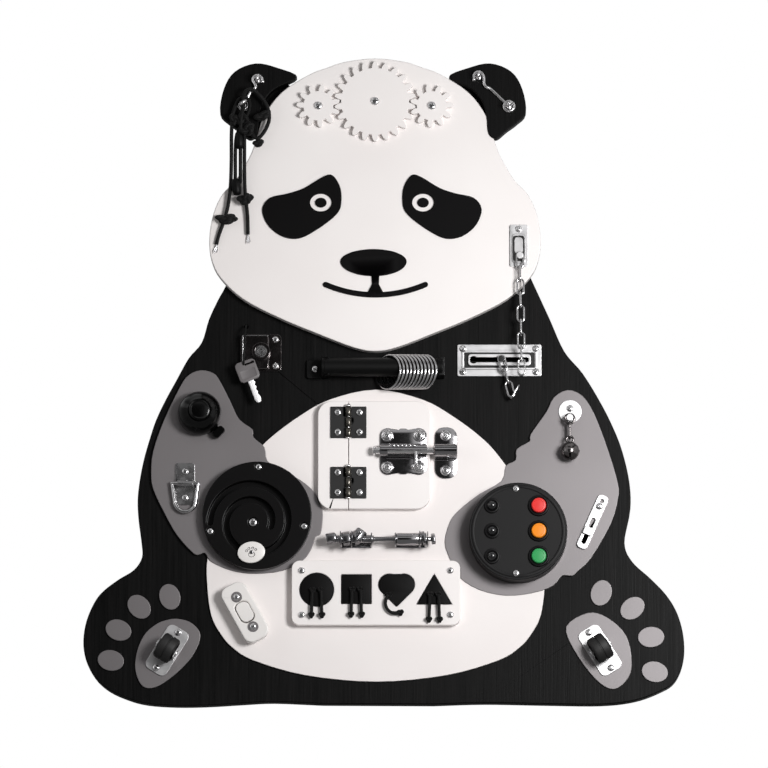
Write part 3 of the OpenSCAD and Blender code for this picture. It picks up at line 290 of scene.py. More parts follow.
@dataclass(frozen=True)
class StainedPlywood(Finish):
    """Birch plywood, stained black and waxed: the grain runs up the board and shows as fine
    lighter streaks, with short dark pores, and the wax gives a broad soft sheen."""

    light: str = "#3b3939"
    streak_mm: float = 1.6
    streak_length_mm: float = 70.0

    def build(self) -> bpy.types.Material:
        """Returns the finished material."""
        material, shader = self.start()
        across, along = 1000 / self.streak_mm, 1000 / self.streak_length_mm
        streaks = add(material, "ShaderNodeTexNoise", {
            "Vector": self.place(material, (across, across, along)), "Scale": 1.0,
            "Detail": 6.0, "Roughness": 0.62, "Distortion": 0.15})
        waves = add(material, "ShaderNodeTexNoise", {
            "Vector": self.place(material, (across / 9, across / 9, along / 5)), "Scale": 1.0,
            "Detail": 3.0, "Roughness": 0.5})
        both = add(material, "ShaderNodeMath",
                   {0: streaks.outputs["Fac"], 1: waves.outputs["Fac"]}, operation="MULTIPLY")
        ramp = add(material, "ShaderNodeValToRGB", {"Fac": both.outputs["Value"]})
        ramp.color_ramp.elements[0].position = 0.16
        ramp.color_ramp.elements[0].color = hex_colour(self.colour)
        ramp.color_ramp.elements[1].position = 0.42
        ramp.color_ramp.elements[1].color = hex_colour(self.light)
        material.node_tree.links.new(ramp.outputs["Color"], shader.inputs["Base Color"])
        rough = add(material, "ShaderNodeMapRange", {
            "Value": streaks.outputs["Fac"], "From Min": 0.3, "From Max": 0.7,
            "To Min": self.roughness - 0.08, "To Max": self.roughness + 0.1})
        material.node_tree.links.new(rough.outputs["Result"], shader.inputs["Roughness"])
        self.bump(material, shader, streaks.outputs["Fac"], 0.00025, 0.6)
        return material


@dataclass(frozen=True)
class PaintedPlywood(Finish):
    """Plywood under a sprayed satin paint: an even colour, a faint roller texture, and a trace
    of the grain below that only shows as a bump. A pewter paint holds metal flakes, so it is
    bright where it faces the lamp and dark away from it."""

    grain: float = 0.25
    shade: str = "#ffffff"
    flakes: float = 0.0

    def build(self) -> bpy.types.Material:
        """Returns the finished material."""
        material, shader = self.start()
        shader.inputs["Metallic"].default_value = self.flakes
        skin = add(material, "ShaderNodeTexNoise", {
            "Vector": self.place(material, (900.0, 900.0, 900.0)), "Scale": 1.0,
            "Detail": 2.0})
        grain = add(material, "ShaderNodeTexNoise", {
            "Vector": self.place(material, (450.0, 450.0, 16.0)), "Scale": 1.0, "Detail": 4.0})
        cloud = add(material, "ShaderNodeTexNoise", {
            "Vector": self.place(material, (9.0, 9.0, 9.0)), "Scale": 1.0, "Detail": 2.0})
        ramp = add(material, "ShaderNodeValToRGB", {"Fac": cloud.outputs["Fac"]})
        ramp.color_ramp.elements[0].position = 0.25
        ramp.color_ramp.elements[0].color = hex_colour(self.shade)
        ramp.color_ramp.elements[1].position = 0.6
        ramp.color_ramp.elements[1].color = hex_colour(self.colour)
        material.node_tree.links.new(ramp.outputs["Color"], shader.inputs["Base Color"])
        both = add(material, "ShaderNodeMath", {
            0: grain.outputs["Fac"], 1: self.grain, 2: skin.outputs["Fac"]},
            operation="MULTIPLY_ADD")
        self.bump(material, shader, both.outputs["Value"], 0.0001, 0.35)
        return material


@dataclass(frozen=True)
class PlatedMetal(Finish):
    """Pressed or turned steel with a bright plating: it mirrors its surroundings softly, with
    fine rolling lines and cloudy patches where fingers have dulled it."""

    lines: float = 0.35
    patches: float = 0.08

    def build(self) -> bpy.types.Material:
        """Returns the finished material."""
        material, shader = self.start()
        shader.inputs["Metallic"].default_value = 1.0
        cloud = add(material, "ShaderNodeTexNoise", {
            "Vector": self.place(material, (120.0, 120.0, 120.0)), "Scale": 1.0,
            "Detail": 4.0})
        rough = add(material, "ShaderNodeMapRange", {
            "Value": cloud.outputs["Fac"], "From Min": 0.35, "From Max": 0.65,
            "To Min": self.roughness, "To Max": self.roughness + self.patches})
        material.node_tree.links.new(rough.outputs["Result"], shader.inputs["Roughness"])
        lines = add(material, "ShaderNodeTexNoise", {
            "Vector": self.place(material, (180.0, 900.0, 900.0)), "Scale": 1.0,
            "Detail": 3.0})
        self.bump(material, shader, lines.outputs["Fac"], 0.00004, self.lines)
        return material


@dataclass(frozen=True)
class MouldedPlastic(Finish):
    """Injection-moulded plastic: one even colour with a fine eroded texture from the mould."""

    texture: float = 0.3
    coat: float = 0.0

    def build(self) -> bpy.types.Material:
        """Returns the finished material."""
        material, shader = self.start()
        shader.inputs["IOR"].default_value = 1.5
        shader.inputs["Coat Weight"].default_value = self.coat
        shader.inputs["Coat Roughness"].default_value = 0.06
        skin = add(material, "ShaderNodeTexNoise", {
            "Vector": self.place(material, (1400.0, 1400.0, 1400.0)), "Scale": 1.0,
            "Detail": 2.0})
        self.bump(material, shader, skin.outputs["Fac"], 0.00006, self.texture)
        return material


@dataclass(frozen=True)
class BraidedCord(Finish):
    """Round braided polyester cord: two sets of strands cross at an angle, so the surface
    shows small raised diamonds, with painted shade darkening the grooves between them, and
    the filaments give a soft sheen."""

    strand_mm: float = 0.9
    run_mm: float = 100.0

    def build(self) -> bpy.types.Material:
        """Returns the finished material, which follows the cord's own UV map: u runs along
        the cord from end to end, and v round it."""
        material, shader = self.start()
        shader.inputs["Sheen Weight"].default_value = 0.06
        shader.inputs["Sheen Roughness"].default_value = 0.4
        where = add(material, "ShaderNodeTexCoord")
        bands = []
        for tilt in (1.0, -1.0):
            split = add(material, "ShaderNodeSeparateXYZ", {"Vector": where.outputs["UV"]})
            turn = add(material, "ShaderNodeMath",
                       {0: split.outputs["Y"], 1: 4.0 * tilt}, operation="MULTIPLY")
            run = add(material, "ShaderNodeMath", {
                0: split.outputs["X"], 1: self.run_mm / self.strand_mm,
                2: turn.outputs["Value"]}, operation="MULTIPLY_ADD")
            wave = add(material, "ShaderNodeMath",
                       {0: run.outputs["Value"], 1: 1.0}, operation="PINGPONG")
            bands.append(wave.outputs["Value"])
        weave = add(material, "ShaderNodeMath", {0: bands[0], 1: bands[1]},
                    operation="MAXIMUM")
        # Painted shade: the weave's low grooves between the raised strands are coloured a little darker than
        # its tops.
        ramp = add(material, "ShaderNodeValToRGB", {"Fac": weave.outputs["Value"]})
        ramp.color_ramp.elements[0].position = 0.2
        ramp.color_ramp.elements[0].color = hex_colour("#060606")
        ramp.color_ramp.elements[1].position = 0.9
        ramp.color_ramp.elements[1].color = hex_colour(self.colour)
        material.node_tree.links.new(ramp.outputs["Color"], shader.inputs["Base Color"])
        self.bump(material, shader, weave.outputs["Value"], 0.0003, 0.8)
        return material


BLACK_WOOD = StainedPlywood("black_stained_plywood", "#030303", 0.44, 0.1, light="#0d0c0c")
EAR_WOOD = StainedPlywood("black_painted_ear_plywood", "#040404", 0.45, 0.1, light="#0a0909")
WHITE_BOARD = PaintedPlywood("white_satin_paint", "#f4efed", 0.42, shade="#efe9e7")
BELLY_BOARD = PaintedPlywood("white_belly_paint", "#f2ecea", 0.45, shade="#ede6e4")
BLACK_PAINT = PaintedPlywood("black_satin_paint", "#050405", 0.42, 0.1, grain=0.8, shade="#070606")
GREY_PAINT = PaintedPlywood("pewter_grey_satin_paint", "#7e7a7b", 0.46, shade="#787475",
                            flakes=0.7)
ZINC = PlatedMetal("bright_zinc_plated_steel", "#cfcecf", 0.34)
BELL_STEEL = PlatedMetal("dark_bell_steel", "#6f6b6b", 0.16, lines=0.15)
# Painted shade: a darker copy of the zinc plating, used for the ring plate on the board's shaded left.
ZINC_PAINTED_SHADE = PlatedMetal("zinc_plate_painted_shade", "#a6a5a6", 0.22)
KEY_NICKEL = PlatedMetal("bright_key_nickel", "#f1f0f1", 0.5, lines=0.1)
# Painted reflection: the lock's nickel gets a darkened colour that stands in for the dark surroundings it
# mirrors.
LOCK_NICKEL_PAINTED_DARK = PlatedMetal("lock_nickel_painted_dark_reflection", "#6f6a6a", 0.12, lines=0.1, patches=0.05)
BRIGHT_ZINC = PlatedMetal("polished_zinc_plated_steel", "#dddcdd", 0.16, lines=0.15)
MIRROR_STEEL = PlatedMetal("mirror_nickel_plate", "#a3a1a3", 0.08, lines=0.08, patches=0.05)
SILVER_THREAD = PlatedMetal("silver_tinsel_thread", "#cfced0", 0.35)
# Painted shade: a near-black laid in the anchor's well, down the anchor's left edge and in the slide plate's
# moat, where shade falls.
PAINTED_SHADE_BLACK = MouldedPlastic("black_painted_shade", "#100f0f", 0.35, texture=0.1)
BOX_PLASTIC = MouldedPlastic("black_satin_abs_cover", "#0c0b0c", 0.5, 0.2)
MAZE_PAINT = PaintedPlywood("black_maze_lacquer", "#050405", 0.3, 0.22, grain=0.3,
                            shade="#070606")
PEG_PAINT = PaintedPlywood("black_peg_paint", "#050404", 0.5, 0.1, grain=0.6, shade="#070606")
POLISHED = PlatedMetal("polished_nickel_plate", "#c4c3c4", 0.12, lines=0.1, patches=0.06)
DARK_NICKEL = PlatedMetal("dark_nickel_plate", "#8b8a8c", 0.16, lines=0.15)
BLACK_ENAMEL = MouldedPlastic("black_glossy_enamel", "#030303", 0.2, 0.25, texture=0.05,
                              coat=0.06)
BAR_BLACK = MouldedPlastic("black_powder_coated_bar", "#040404", 0.45, 0.15)
KNUCKLE = PlatedMetal("black_nickel_knuckle", "#57544f", 0.2, lines=0.1)
BLACK_RUBBER = MouldedPlastic("black_wheel_rubber", "#121111", 0.6, texture=0.6)
HINGE_BLACK = MouldedPlastic("black_lacquered_steel", "#1c1b1b", 0.35, texture=0.2)
WHITE_PLASTIC = MouldedPlastic("white_moulded_abs", "#efebe8", 0.3, texture=0.1)
GREY_PLASTIC = MouldedPlastic("grey_moulded_abs", "#6a6667", 0.5)
RED_CAP = MouldedPlastic("red_button_cap", "#e0322f", 0.3, texture=0.1)
ORANGE_CAP = MouldedPlastic("orange_button_cap", "#f08c14", 0.3, texture=0.1)
GREEN_CAP = MouldedPlastic("green_button_cap", "#2f9a55", 0.3, texture=0.1)
SMOKED_LENS = MouldedPlastic("smoked_lens", "#141416", 0.12, texture=0.0, coat=0.6)
CIRCUIT_GREEN = MouldedPlastic("green_circuit_board", "#1f5a33", 0.4)


@dataclass
class Store:
    """Builds each finish once and hands it out."""

    made: dict[str, bpy.types.Material] = field(default_factory=dict)

    def get(self, finish: Finish) -> bpy.types.Material:
        """Returns the material of a finish."""
        if finish.name not in self.made:
            self.made[finish.name] = finish.build()
        return self.made[finish.name]


STORE = Store()


def dress(piece: bpy.types.Object, finish: Finish) -> bpy.types.Object:
    """Gives a piece one finish in its only material slot.

    Args:
        piece: the object to dress.
        finish: its finish.

    Returns:
        The same object.
    """
    piece.data.materials.clear()
    piece.data.materials.append(STORE.get(finish))
    return piece


def fit(piece: bpy.types.Object, body: str, finish: Finish, replaces: Sequence[str] = ()) -> bpy.types.Object:
    """Settles, dresses and mounts a new piece.

    Args:
        piece: the object to mount.
        body: the body that it rides on.
        finish: its finish.
        replaces: CAD nodes that it stands for.

    Returns:
        The same object.
    """
    settle(piece)
    dress(piece, finish)
    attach(piece, body)
    if replaces:
        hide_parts(*replaces)
    LOG.info("%s on %s", piece.name, body)
    return piece


# ---- boards and everything that keeps its CAD shape --------------------------------------


@dataclass
class EasedPiece:
    """A piece that keeps its CAD shape, with its edges rounded."""

    node: str
    body: str
    finish: Finish
    width: float = 0.6
    segments: int = 2

    def build(self) -> bpy.types.Object:
        """Makes and mounts the piece.

        Returns:
            The new object.
        """
        piece = eased_copy(self.node, self.node + "_eased", self.width, self.segments)
        return fit(piece, self.body, self.finish, (self.node,))


@dataclass
class PlainPiece:
    """A CAD node that keeps its shape and gets a finish."""

    node: str
    finish: Finish

    def build(self) -> bpy.types.Object:
        """Dresses the CAD node and returns it."""
        return dress(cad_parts[self.node], self.finish)


EASED = [
    EasedPiece("body_board", "board", BLACK_WOOD, 1.2, 3),
    EasedPiece("head_board", "board", WHITE_BOARD, 1.2, 3),
    EasedPiece("ear_boards", "board", EAR_WOOD, 1.0, 3),
    EasedPiece("belly_panel", "board", BELLY_BOARD, 0.5),
    EasedPiece("limb_panels", "board", GREY_PAINT, 0.5),
    EasedPiece("face_patches", "board", BLACK_PAINT, 0.3),
    EasedPiece("drive_gear", "drive_gear", WHITE_BOARD, 0.5),
    EasedPiece("left_gear", "left_gear", WHITE_BOARD, 0.5),
    EasedPiece("right_gear", "right_gear", WHITE_BOARD, 0.5),
    EasedPiece("maze_disc", "board", MAZE_PAINT, 0.9, 3),
    EasedPiece("door_jamb", "board", WHITE_BOARD, 0.8, 3),
    EasedPiece("door_leaf", "door", WHITE_BOARD, 0.8, 3),
    EasedPiece("shape_board", "board", WHITE_BOARD, 0.8, 3),
    EasedPiece("bell_base", "board", ZINC, 0.4),
    EasedPiece("strip_slider", "strip_slider", ZINC, 0.35),
    EasedPiece("slide_strip", "board", ZINC, 0.35),
    EasedPiece("jingle_hanger", "board", ZINC, 0.3),
    EasedPiece("ring_plate", "board", ZINC_PAINTED_SHADE, 0.5),
]
PLAIN = [
    PlainPiece("chain_upper", POLISHED),
    PlainPiece("chain_lower", POLISHED),
    PlainPiece("chain_slider", POLISHED),
    PlainPiece("bar_rings", POLISHED),
    PlainPiece("d_ring", POLISHED),
    PlainPiece("light_board", CIRCUIT_GREEN),
    PlainPiece("jingle_bell", BELL_STEEL),
]


# ---- the bench: pieces are modelled flat on it, then seated on the board ------------------


def seated(piece: bpy.types.Object, x: float, z: float, h: float, tilt: float = 0.0,
           turn: tuple[float, float, float] = (0.0, 0.0, 0.0)) -> bpy.types.Object:
    """Moves a piece from the bench to its place on the board, and settles it there.

    Args:
        piece: a piece modelled about the origin, with its front towards +Z.
        x: place across the board, in millimetres.
        z: place up the board, in millimetres.
        h: height above the back, in millimetres.
        tilt: turn on the board, in degrees anticlockwise as seen from the front.
        turn: a turn on the bench beforehand, in degrees about X, Y and Z.

    Returns:
        The same object.
    """
    bench = Matrix.Rotation(math.radians(turn[2]), 4, "Z")
    bench @= Matrix.Rotation(math.radians(turn[1]), 4, "Y")
    bench @= Matrix.Rotation(math.radians(turn[0]), 4, "X")
    upright = Matrix.Rotation(math.radians(90), 4, "X")
    flat = Matrix.Rotation(math.radians(tilt), 4, "Z")
    piece.matrix_world = Matrix.Translation(at(x, z, h)) @ upright @ flat @ bench
    return settle(piece)


def twin(piece: bpy.types.Object) -> bpy.types.Object:
    """Returns a copy of a piece with a mesh of its own."""
    other = piece.copy()
    other.data = piece.data.copy()
    bpy.context.scene.collection.objects.link(other)
    return other


def scrap(piece: bpy.types.Object) -> None:
    """Throws a piece away."""
    bpy.data.objects.remove(piece, do_unlink=True)


def turned(profile: Sequence[tuple[float, float]], sides: int = 32) -> bpy.types.Object:
    """Turns a solid about the bench's Z axis, from a disc extruded and scaled step by step.

    Args:
        profile: radius and height of each step from the bottom up, in millimetres.
        sides: number of sides.

    Returns:
        The new object.
    """
    deselect_all()
    radius, height = profile[0]
    bpy.ops.mesh.primitive_circle_add(vertices=sides, radius=radius * MM, fill_type="NGON",
                                      location=(0, 0, height * MM))
    piece = settle(bpy.context.object)
    bpy.ops.object.mode_set(mode="EDIT")
    bpy.ops.mesh.select_all(action="SELECT")
    for next_radius, next_height in profile[1:]:
        bpy.ops.mesh.extrude_region_move(
            TRANSFORM_OT_translate={"value": (0, 0, (next_height - height) * MM)})
        if next_radius != radius:
            scale = next_radius / radius
            bpy.ops.transform.resize(value=(scale, scale, 1), center_override=(0, 0, 0))
        radius, height = next_radius, next_height
    bpy.ops.object.mode_set(mode="OBJECT")
    heal_normals(piece)
    return piece


def block(size: tuple[float, float, float], place: tuple[float, float, float] = (0, 0, 0),
          ease: float = 0.4, turn: float = 0.0) -> bpy.types.Object:
    """Makes a rectangular bar with rounded edges.

    Args:
        size: length along X, Y and Z, in millimetres.
        place: its middle, in millimetres.
        ease: width of the rounding, in millimetres.
        turn: turn about Z, in degrees.

    Returns:
        The new object.
    """
    deselect_all()
    bpy.ops.mesh.primitive_cube_add(size=MM, location=[v * MM for v in place],
                                    rotation=(0, 0, math.radians(turn)))
    piece = bpy.context.object
    piece.scale = size
    settle(piece)
    if ease > 0:
        modify(piece, "BEVEL", width=ease * MM, segments=3)
    return piece


def cut(piece: bpy.types.Object, cutter: bpy.types.Object) -> bpy.types.Object:
    """Cuts one piece's shape out of another, and throws the cutter away.

    Args:
        piece: the piece that stays.
        cutter: the piece that is cut out of it.

    Returns:
        The piece that stays.
    """
    modify(piece, "BOOLEAN", operation="DIFFERENCE", object=cutter, solver="EXACT")
    scrap(cutter)
    return piece


def sheet_metal(outlines: Sequence[Sequence[tuple[float, float]]], low: float, thick: float,
                ease: float = 0.3) -> bpy.types.Object:
    """Cuts a flat plate with rounded edges.

    Args:
        outlines: the rim and then the holes, each a closed run of points in millimetres.
        low: height of its back.
        thick: its thickness.
        ease: width of the rounding.

    Returns:
        The new object.
    """
    data = bpy.data.curves.new("outline", "CURVE")
    data.dimensions = "2D"
    data.fill_mode = "BOTH"
    data.extrude = (thick / 2 - ease) * MM
    data.bevel_depth = ease * MM
    data.bevel_resolution = 1
    data.offset = -ease * MM
    for outline in outlines:
        spline = data.splines.new("POLY")
        spline.points.add(len(outline) - 1)
        for point, (x, y) in zip(spline.points, outline):
            point.co = (x * MM, y * MM, 0, 1)
        spline.use_cyclic_u = True
    piece = bpy.data.objects.new("plate", data)
    bpy.context.scene.collection.objects.link(piece)
    piece.location = (0, 0, (low + thick / 2) * MM)
    pick(piece)
    bpy.ops.object.convert(target="MESH")
    piece = settle(bpy.context.object)
    heal_normals(piece)
    return piece


def wire(points: Sequence[Sequence[float]], radius: float, closed: bool = False,
         sides: int = 3, bend: bool = True) -> bpy.types.Object:
    """Bends a wire or a strand along points.

    Args:
        points: points that it passes through, in millimetres.
        radius: its radius, in millimetres.
        closed: whether its end meets its start.
        sides: rounds of its section, a quarter of its sides less one.
        bend: whether it curves smoothly through the points.

    Returns:
        The new object.
    """
    data = bpy.data.curves.new("wire", "CURVE")
    data.dimensions = "3D"
    data.bevel_depth = radius * MM
    data.bevel_resolution = sides
    data.resolution_u = 4
    data.use_fill_caps = True
    if bend:
        spline = data.splines.new("BEZIER")
        spline.bezier_points.add(len(points) - 1)
        for knot, point in zip(spline.bezier_points, points):
            knot.co = Vector(point) * MM
            knot.handle_left_type = knot.handle_right_type = "AUTO"
    else:
        spline = data.splines.new("POLY")
        spline.points.add(len(points) - 1)
        for knot, point in zip(spline.points, points):
            knot.co = (*(Vector(point) * MM), 1)
    spline.use_cyclic_u = closed
    piece = bpy.data.objects.new("wire", data)
    bpy.context.scene.collection.objects.link(piece)
    pick(piece)
    bpy.ops.object.convert(target="MESH")
    return smooth(settle(bpy.context.object), 60)


def rounded_outline(w: float, d: float, r: float, x: float = 0.0, y: float = 0.0,
                    steps: int = 6) -> list[tuple[float, float]]:
    """Returns a rectangle's outline with rounded corners.

    Args:
        w: width.
        d: depth.
        r: corner radius.
        x: middle along X.
        y: middle along Y.
        steps: points to a corner, less one.

    Returns:
        Points in order, anticlockwise.
    """
    run = []
    for k, (i, j) in enumerate(((1, 1), (-1, 1), (-1, -1), (1, -1))):
        for s in range(steps + 1):
            a = math.radians(90 * (k + s / steps))
            run.append((x + i * (w / 2 - r) + r * math.cos(a),
                        y + j * (d / 2 - r) + r * math.sin(a)))
    return run


def ring_outline(r: float, x: float = 0.0, y: float = 0.0, steps: int = 24,
                 start: float = 0.0, sweep: float = 360.0) -> list[tuple[float, float]]:
    """Returns points along a circle or an arc of it.

    Args:
        r: radius.
        x: middle along X.
        y: middle along Y.
        steps: number of points.
        start: angle of the first point, in degrees.
        sweep: angle that the points cover, in degrees.

    Returns:
        Points in order.
    """
    span = steps if sweep == 360 else steps - 1
    angles = [math.radians(start + sweep * k / span) for k in range(steps)]
    return [(x + r * math.cos(a), y + r * math.sin(a)) for a in angles]


def knot(size: float, radius: float) -> bpy.types.Object:
    """Ties an overhand knot: one strand that crosses itself three times.

    Args:
        size: how far the strand's middle swings out, in millimetres.
        radius: the strand's radius, in millimetres.

    Returns:
        The new object.
    """
    points = []
    for k in range(24):
        a = 2 * math.pi * k / 24
        points.append((size * (math.sin(a) + 2 * math.sin(2 * a)) / 3,
                       size * (math.cos(a) - 2 * math.cos(2 * a)) / 3,
                       -size * math.sin(3 * a) * 0.42))
    return wire(points, radius, closed=True, sides=2)


# ---- screws and screw eyes ---------------------------------------------------------------


@dataclass
class FixingScrews:
    """Every pan-head screw that is driven into a board, with its cross recess."""

    head_r: float = 3.4
    head_h: float = 2.2
    slot_w: float = 0.85

    def model(self, head_r: float | None = None, head_h: float | None = None,
              ) -> bpy.types.Object:
        """Models one screw head with a domed top and a cross recess.

        Args:
            head_r: head radius, where it isn't the usual one.
            head_h: head height, where it isn't the usual one.

        Returns:
            The screw, seated at zero on the bench.
        """
        r, h = head_r or self.head_r, head_h or self.head_h
        head = turned([(r * 0.94, -0.2), (r, 0.25), (r, h * 0.35), (r * 0.93, h * 0.62),
                       (r * 0.78, h * 0.84), (r * 0.55, h * 0.96), (r * 0.2, h)], 24)
        smooth(head, 50)
        size = (r * 1.15, self.slot_w * r / 3.4, h)
        for angle in (0.0, 90.0):
            cut(head, block(size, (0, 0, h * 0.95), 0, angle))
        return head

    def copies(self, spots: Sequence[tuple[float, float, float]], name: str,
               head_r: float | None = None, head_h: float | None = None,
               ) -> bpy.types.Object:
        """Models one screw and copies it to each spot, each turned its own way.

        Args:
            spots: x, z and seat height of each screw.
            name: the joined piece's name.
            head_r: head radius, where it isn't the usual one.
            head_h: head height, where it isn't the usual one.

        Returns:
            The joined screws.
        """
        first = self.model(head_r, head_h)
        made = []
        for k, (x, z, h) in enumerate(spots):
            made.append(seated(twin(first), x, z, h, tilt=(k * 37) % 90))
        scrap(first)
        return join(made, name)


def shape_board_corners() -> list[tuple[float, float, float]]:
    """Returns the places of the shape board's four screws."""
    return [(-7.5 + 74 * i, -298.6 + 22.3 * j, H_SHAPE) for i in (-1, 1) for j in (-1, 1)]


@dataclass
class BoardFasteners:
    """The fixing screws of every plate, the gears' shoulder screws and the hooks' eyes."""

    lock: tuple[float, float] = (-122.5, -54.0)
    slide: tuple[float, float] = (116.0, -61.5)
    clip: tuple[float, float] = (-198.0, -187.5)
    box: tuple[float, float] = (132.0, -239.0)
    keeper_x: float = 62.25
    bolt_z: float = -156.0
    caster: tuple[float, float] = (215.5, -355.0)
    caster_half: float = 20.9
    caster_tilt: float = -58.2
    gears: tuple[tuple[float, float], ...] = ((-8.5, 199.7), (-65.4, 195.1), (48.4, 195.1))
    eyes: tuple[tuple[float, float, float], ...] = (
        (126.0, 195.0, 0.0), (95.5, 225.0, 1.0), (-140.5, 196.5, 0.0), (-126.5, 221.5, 1.0))
    wire_r: float = 1.65

    def places(self) -> list[tuple[float, float, float]]:
        """Returns x, z and seat height of every fixing screw."""
        c, s = (f(math.radians(self.caster_tilt)) for f in (math.cos, math.sin))
        strip, switch = math.radians(-24.2), math.radians(29)
        pairs = [(self.lock[0] + 14.5 * i, self.lock[1] + 13.5 * j, 17.0)
                 for i in (-1, 1) for j in (-1, 1)]
        pairs += [(-68.5, -71.0, 19.0)]
        pairs += [(self.slide[0] + 36.5 * i, self.slide[1] + 11.8 * j, H_BODY + SLIDE_WALL)
                  for i in (-1, 1) for j in (-1, 1)]
        pairs += [(135.5, 70.0, H_HEAD + 1.5)]
        pairs += [(self.clip[0], self.clip[1] + d, H_ARM + CLIP_T) for d in (12.5, -14)]
        pairs += [(-124.5, -172, H_MAZE - 2.2), (-172.5, -237, H_MAZE - 2.2),
                  (-79, -232, H_MAZE - 2.2)]
        pairs += [(self.box[0], self.box[1] + 42.5 * j, H_BOX) for j in (-1, 1)]
        pairs += [(186.5, -111.0, H_ARM + 1.5)]
        pairs += [(208.5 - 17 * math.sin(strip), -226 + 17 * math.cos(strip),
                   H_ARM + STRIP_IN + STRIP_T)]
        pairs += [(-138 - 17 * j * math.sin(switch), -318.5 + 17 * j * math.cos(switch),
                   H_BELLY + SWITCH_H) for j in (-1, 1)]
        pairs += shape_board_corners()
        pairs += [(self.keeper_x, self.bolt_z + 17.5 * j, H_BELLY + 1.5) for j in (-1, 1)]
        pairs += [(i * (self.caster[0] + j * self.caster_half * c),
                   self.caster[1] + j * self.caster_half * s, H_PAD + 1.5)
                  for i in (-1, 1) for j in (-1, 1)]
        return pairs

    def build(self) -> None:
        """Makes the screws, the gears' shoulder screws and the four screw eyes."""
        screws = FixingScrews()
        fixed = screws.copies(self.places(), "fixing_screws")
        fit(fixed, Body.BOARD, BRIGHT_ZINC, ("board_screws",))
        shoulder = screws.copies([(x, z, 33.8) for x, z in self.gears], "gear_screws", 4.2, 2.3)
        pins = [seated(turned([(3.0, -6.0), (3.0, 0.1)], 20), x, z, 33.8)
                for x, z in self.gears]
        fit(join([shoulder] + pins, "gear_screws"), Body.BOARD, BRIGHT_ZINC)
        fit(join([self.eye(*spot) for spot in self.eyes], "screw_eyes"), Body.BOARD, BRIGHT_ZINC)

    def eye(self, x: float, z: float, top: float) -> bpy.types.Object:
        """Bends one screw eye.

        Args:
            x: place across the board, in millimetres.
            z: place up the board, in millimetres.
            top: one where the hook drops over it, which is turned 30 degrees further.

        Returns:
            The screw eye, on the board.
        """
        stem = turned([(1.3, -6.0), (1.5, -0.1), (2.6, 0.0), (2.6, 0.7), (1.5, 0.9),
                       (1.5, 8.6)], 20)
        smooth(stem, 40)
        loop = [(3.4 * math.sin(a), 0.0, 12.0 - 3.4 * math.cos(a))
                for a in (math.radians(20 + 320 * k / 12) for k in range(13))]
        return seated(join([stem, wire(loop, 1.45)], "screw_eye"), x, z, H_EAR, 40 + 30 * top)


# ---- cabin hooks and the lace on the left ear --------------------------------------------


@dataclass
class CabinHook:
    """A long wire hook that turns about one screw eye and drops into the other."""

    side: str
    post: tuple[float, float]
    eye: tuple[float, float]
    wire_r: float = 1.6
    bow_r: float = 5.0
    height: float = H_EAR + 1.8

    def build(self) -> None:
        """Bends the hook from one wire: a closed ring, a stepped shank and an open bow."""
        across, up = self.eye[0] - self.post[0], self.eye[1] - self.post[1]
        length, angle = math.hypot(across, up), math.degrees(math.atan2(up, across))
        ring = [(self.bow_r * math.cos(a), self.bow_r * math.sin(a), 0.0)
                for a in (math.radians(30 * k) for k in range(12))]
        r = self.bow_r
        way = -1 if self.side == "left" else 1
        shank = [(r - 0.3, 0, 0), (length * 0.25, 0, 0.1), (length * 0.5, 0, 0.1),
                 (length * 0.62, 0.5, 0.5), (length * 0.7, 1.9, 1.1), (length * 0.79, 1.2, 1.2),
                 (length * 0.86, -1.7, 0.8), (length - 2.5, -4.2, 0.2), (length + 1.5, -4.9, 0),
                 (length + 4.6, -2.2, 0), (length + 4.7, 1.6, 0), (length + 2.0, 4.5, 0)]
        shank = [(x, way * y, z) for x, y, z in shank]
        tip = turned([(1.6, -0.4), (2.1, 0.4), (2.2, 1.2), (1.7, 2.2), (0.6, 2.7)], 16)
        smooth(tip, 60)
        tip.matrix_world = (Matrix.Translation(Vector(shank[-1]) * MM)
                            @ Matrix.Rotation(math.radians(90 - 40 * way), 4, "Z")
                            @ Matrix.Rotation(math.radians(-90), 4, "X"))
        settle(tip)
        hook = join([wire(ring, self.wire_r, closed=True), wire(shank, self.wire_r), tip],
                    f"hook_{self.side}_bent_wire")
        seated(hook, *self.post, self.height, angle)
        node = f"cabin_hook_{self.side}"
        fit(hook, node, BRIGHT_ZINC, (node,))


def catmull(points: Sequence[Sequence[float]], steps: int) -> list[Vector]:
    """Returns points on the smooth curve through the given ones.

    Args:
        points: the points that the curve passes through.
        steps: how many points to a stretch.

    Returns:
        The points on the curve, the last one included.
    """
    knots, run = [Vector(p) for p in points], []
    for i in range(len(knots) - 1):
        a, b = knots[max(i - 1, 0)], knots[i]
        c, d = knots[i + 1], knots[min(i + 2, len(knots) - 1)]
        for k in range(steps):
            t = k / steps
            run.append(0.5 * (2 * b + (c - a) * t + (2 * a - 5 * b + 4 * c - d) * t * t
                              + (3 * b - a - 3 * c + d) * t ** 3))
    return run + [knots[-1]]


@dataclass
class Cord:
    """A braided cord along its route."""

    name: str
    node: str
    body: str
    radius: float
    route: tuple[tuple[float, float, float], ...]
    far_end: str
    steps: int = 4

    def build(self, with_pieces: Sequence[bpy.types.Object] = ()) -> bpy.types.Object:
        """Args:
            with_pieces: the knots and beads on it; not used.

        Returns:
            The cord.
        """
        run = catmull(self.route, self.steps)
        length = sum((b - a).length for a, b in zip(run, run[1:]))
        piece = wire([(p.x, p.y, p.z) for p in run], self.radius, bend=False, sides=3)
        piece.name = self.name
        finish = BraidedCord(self.name + "_black_braid", "#0a0909", 0.6, 0.2, run_mm=length)
        fit(piece, self.body, finish, (self.node,))
        LOG.info("%s is %.0f mm long", self.name, length)
        return piece


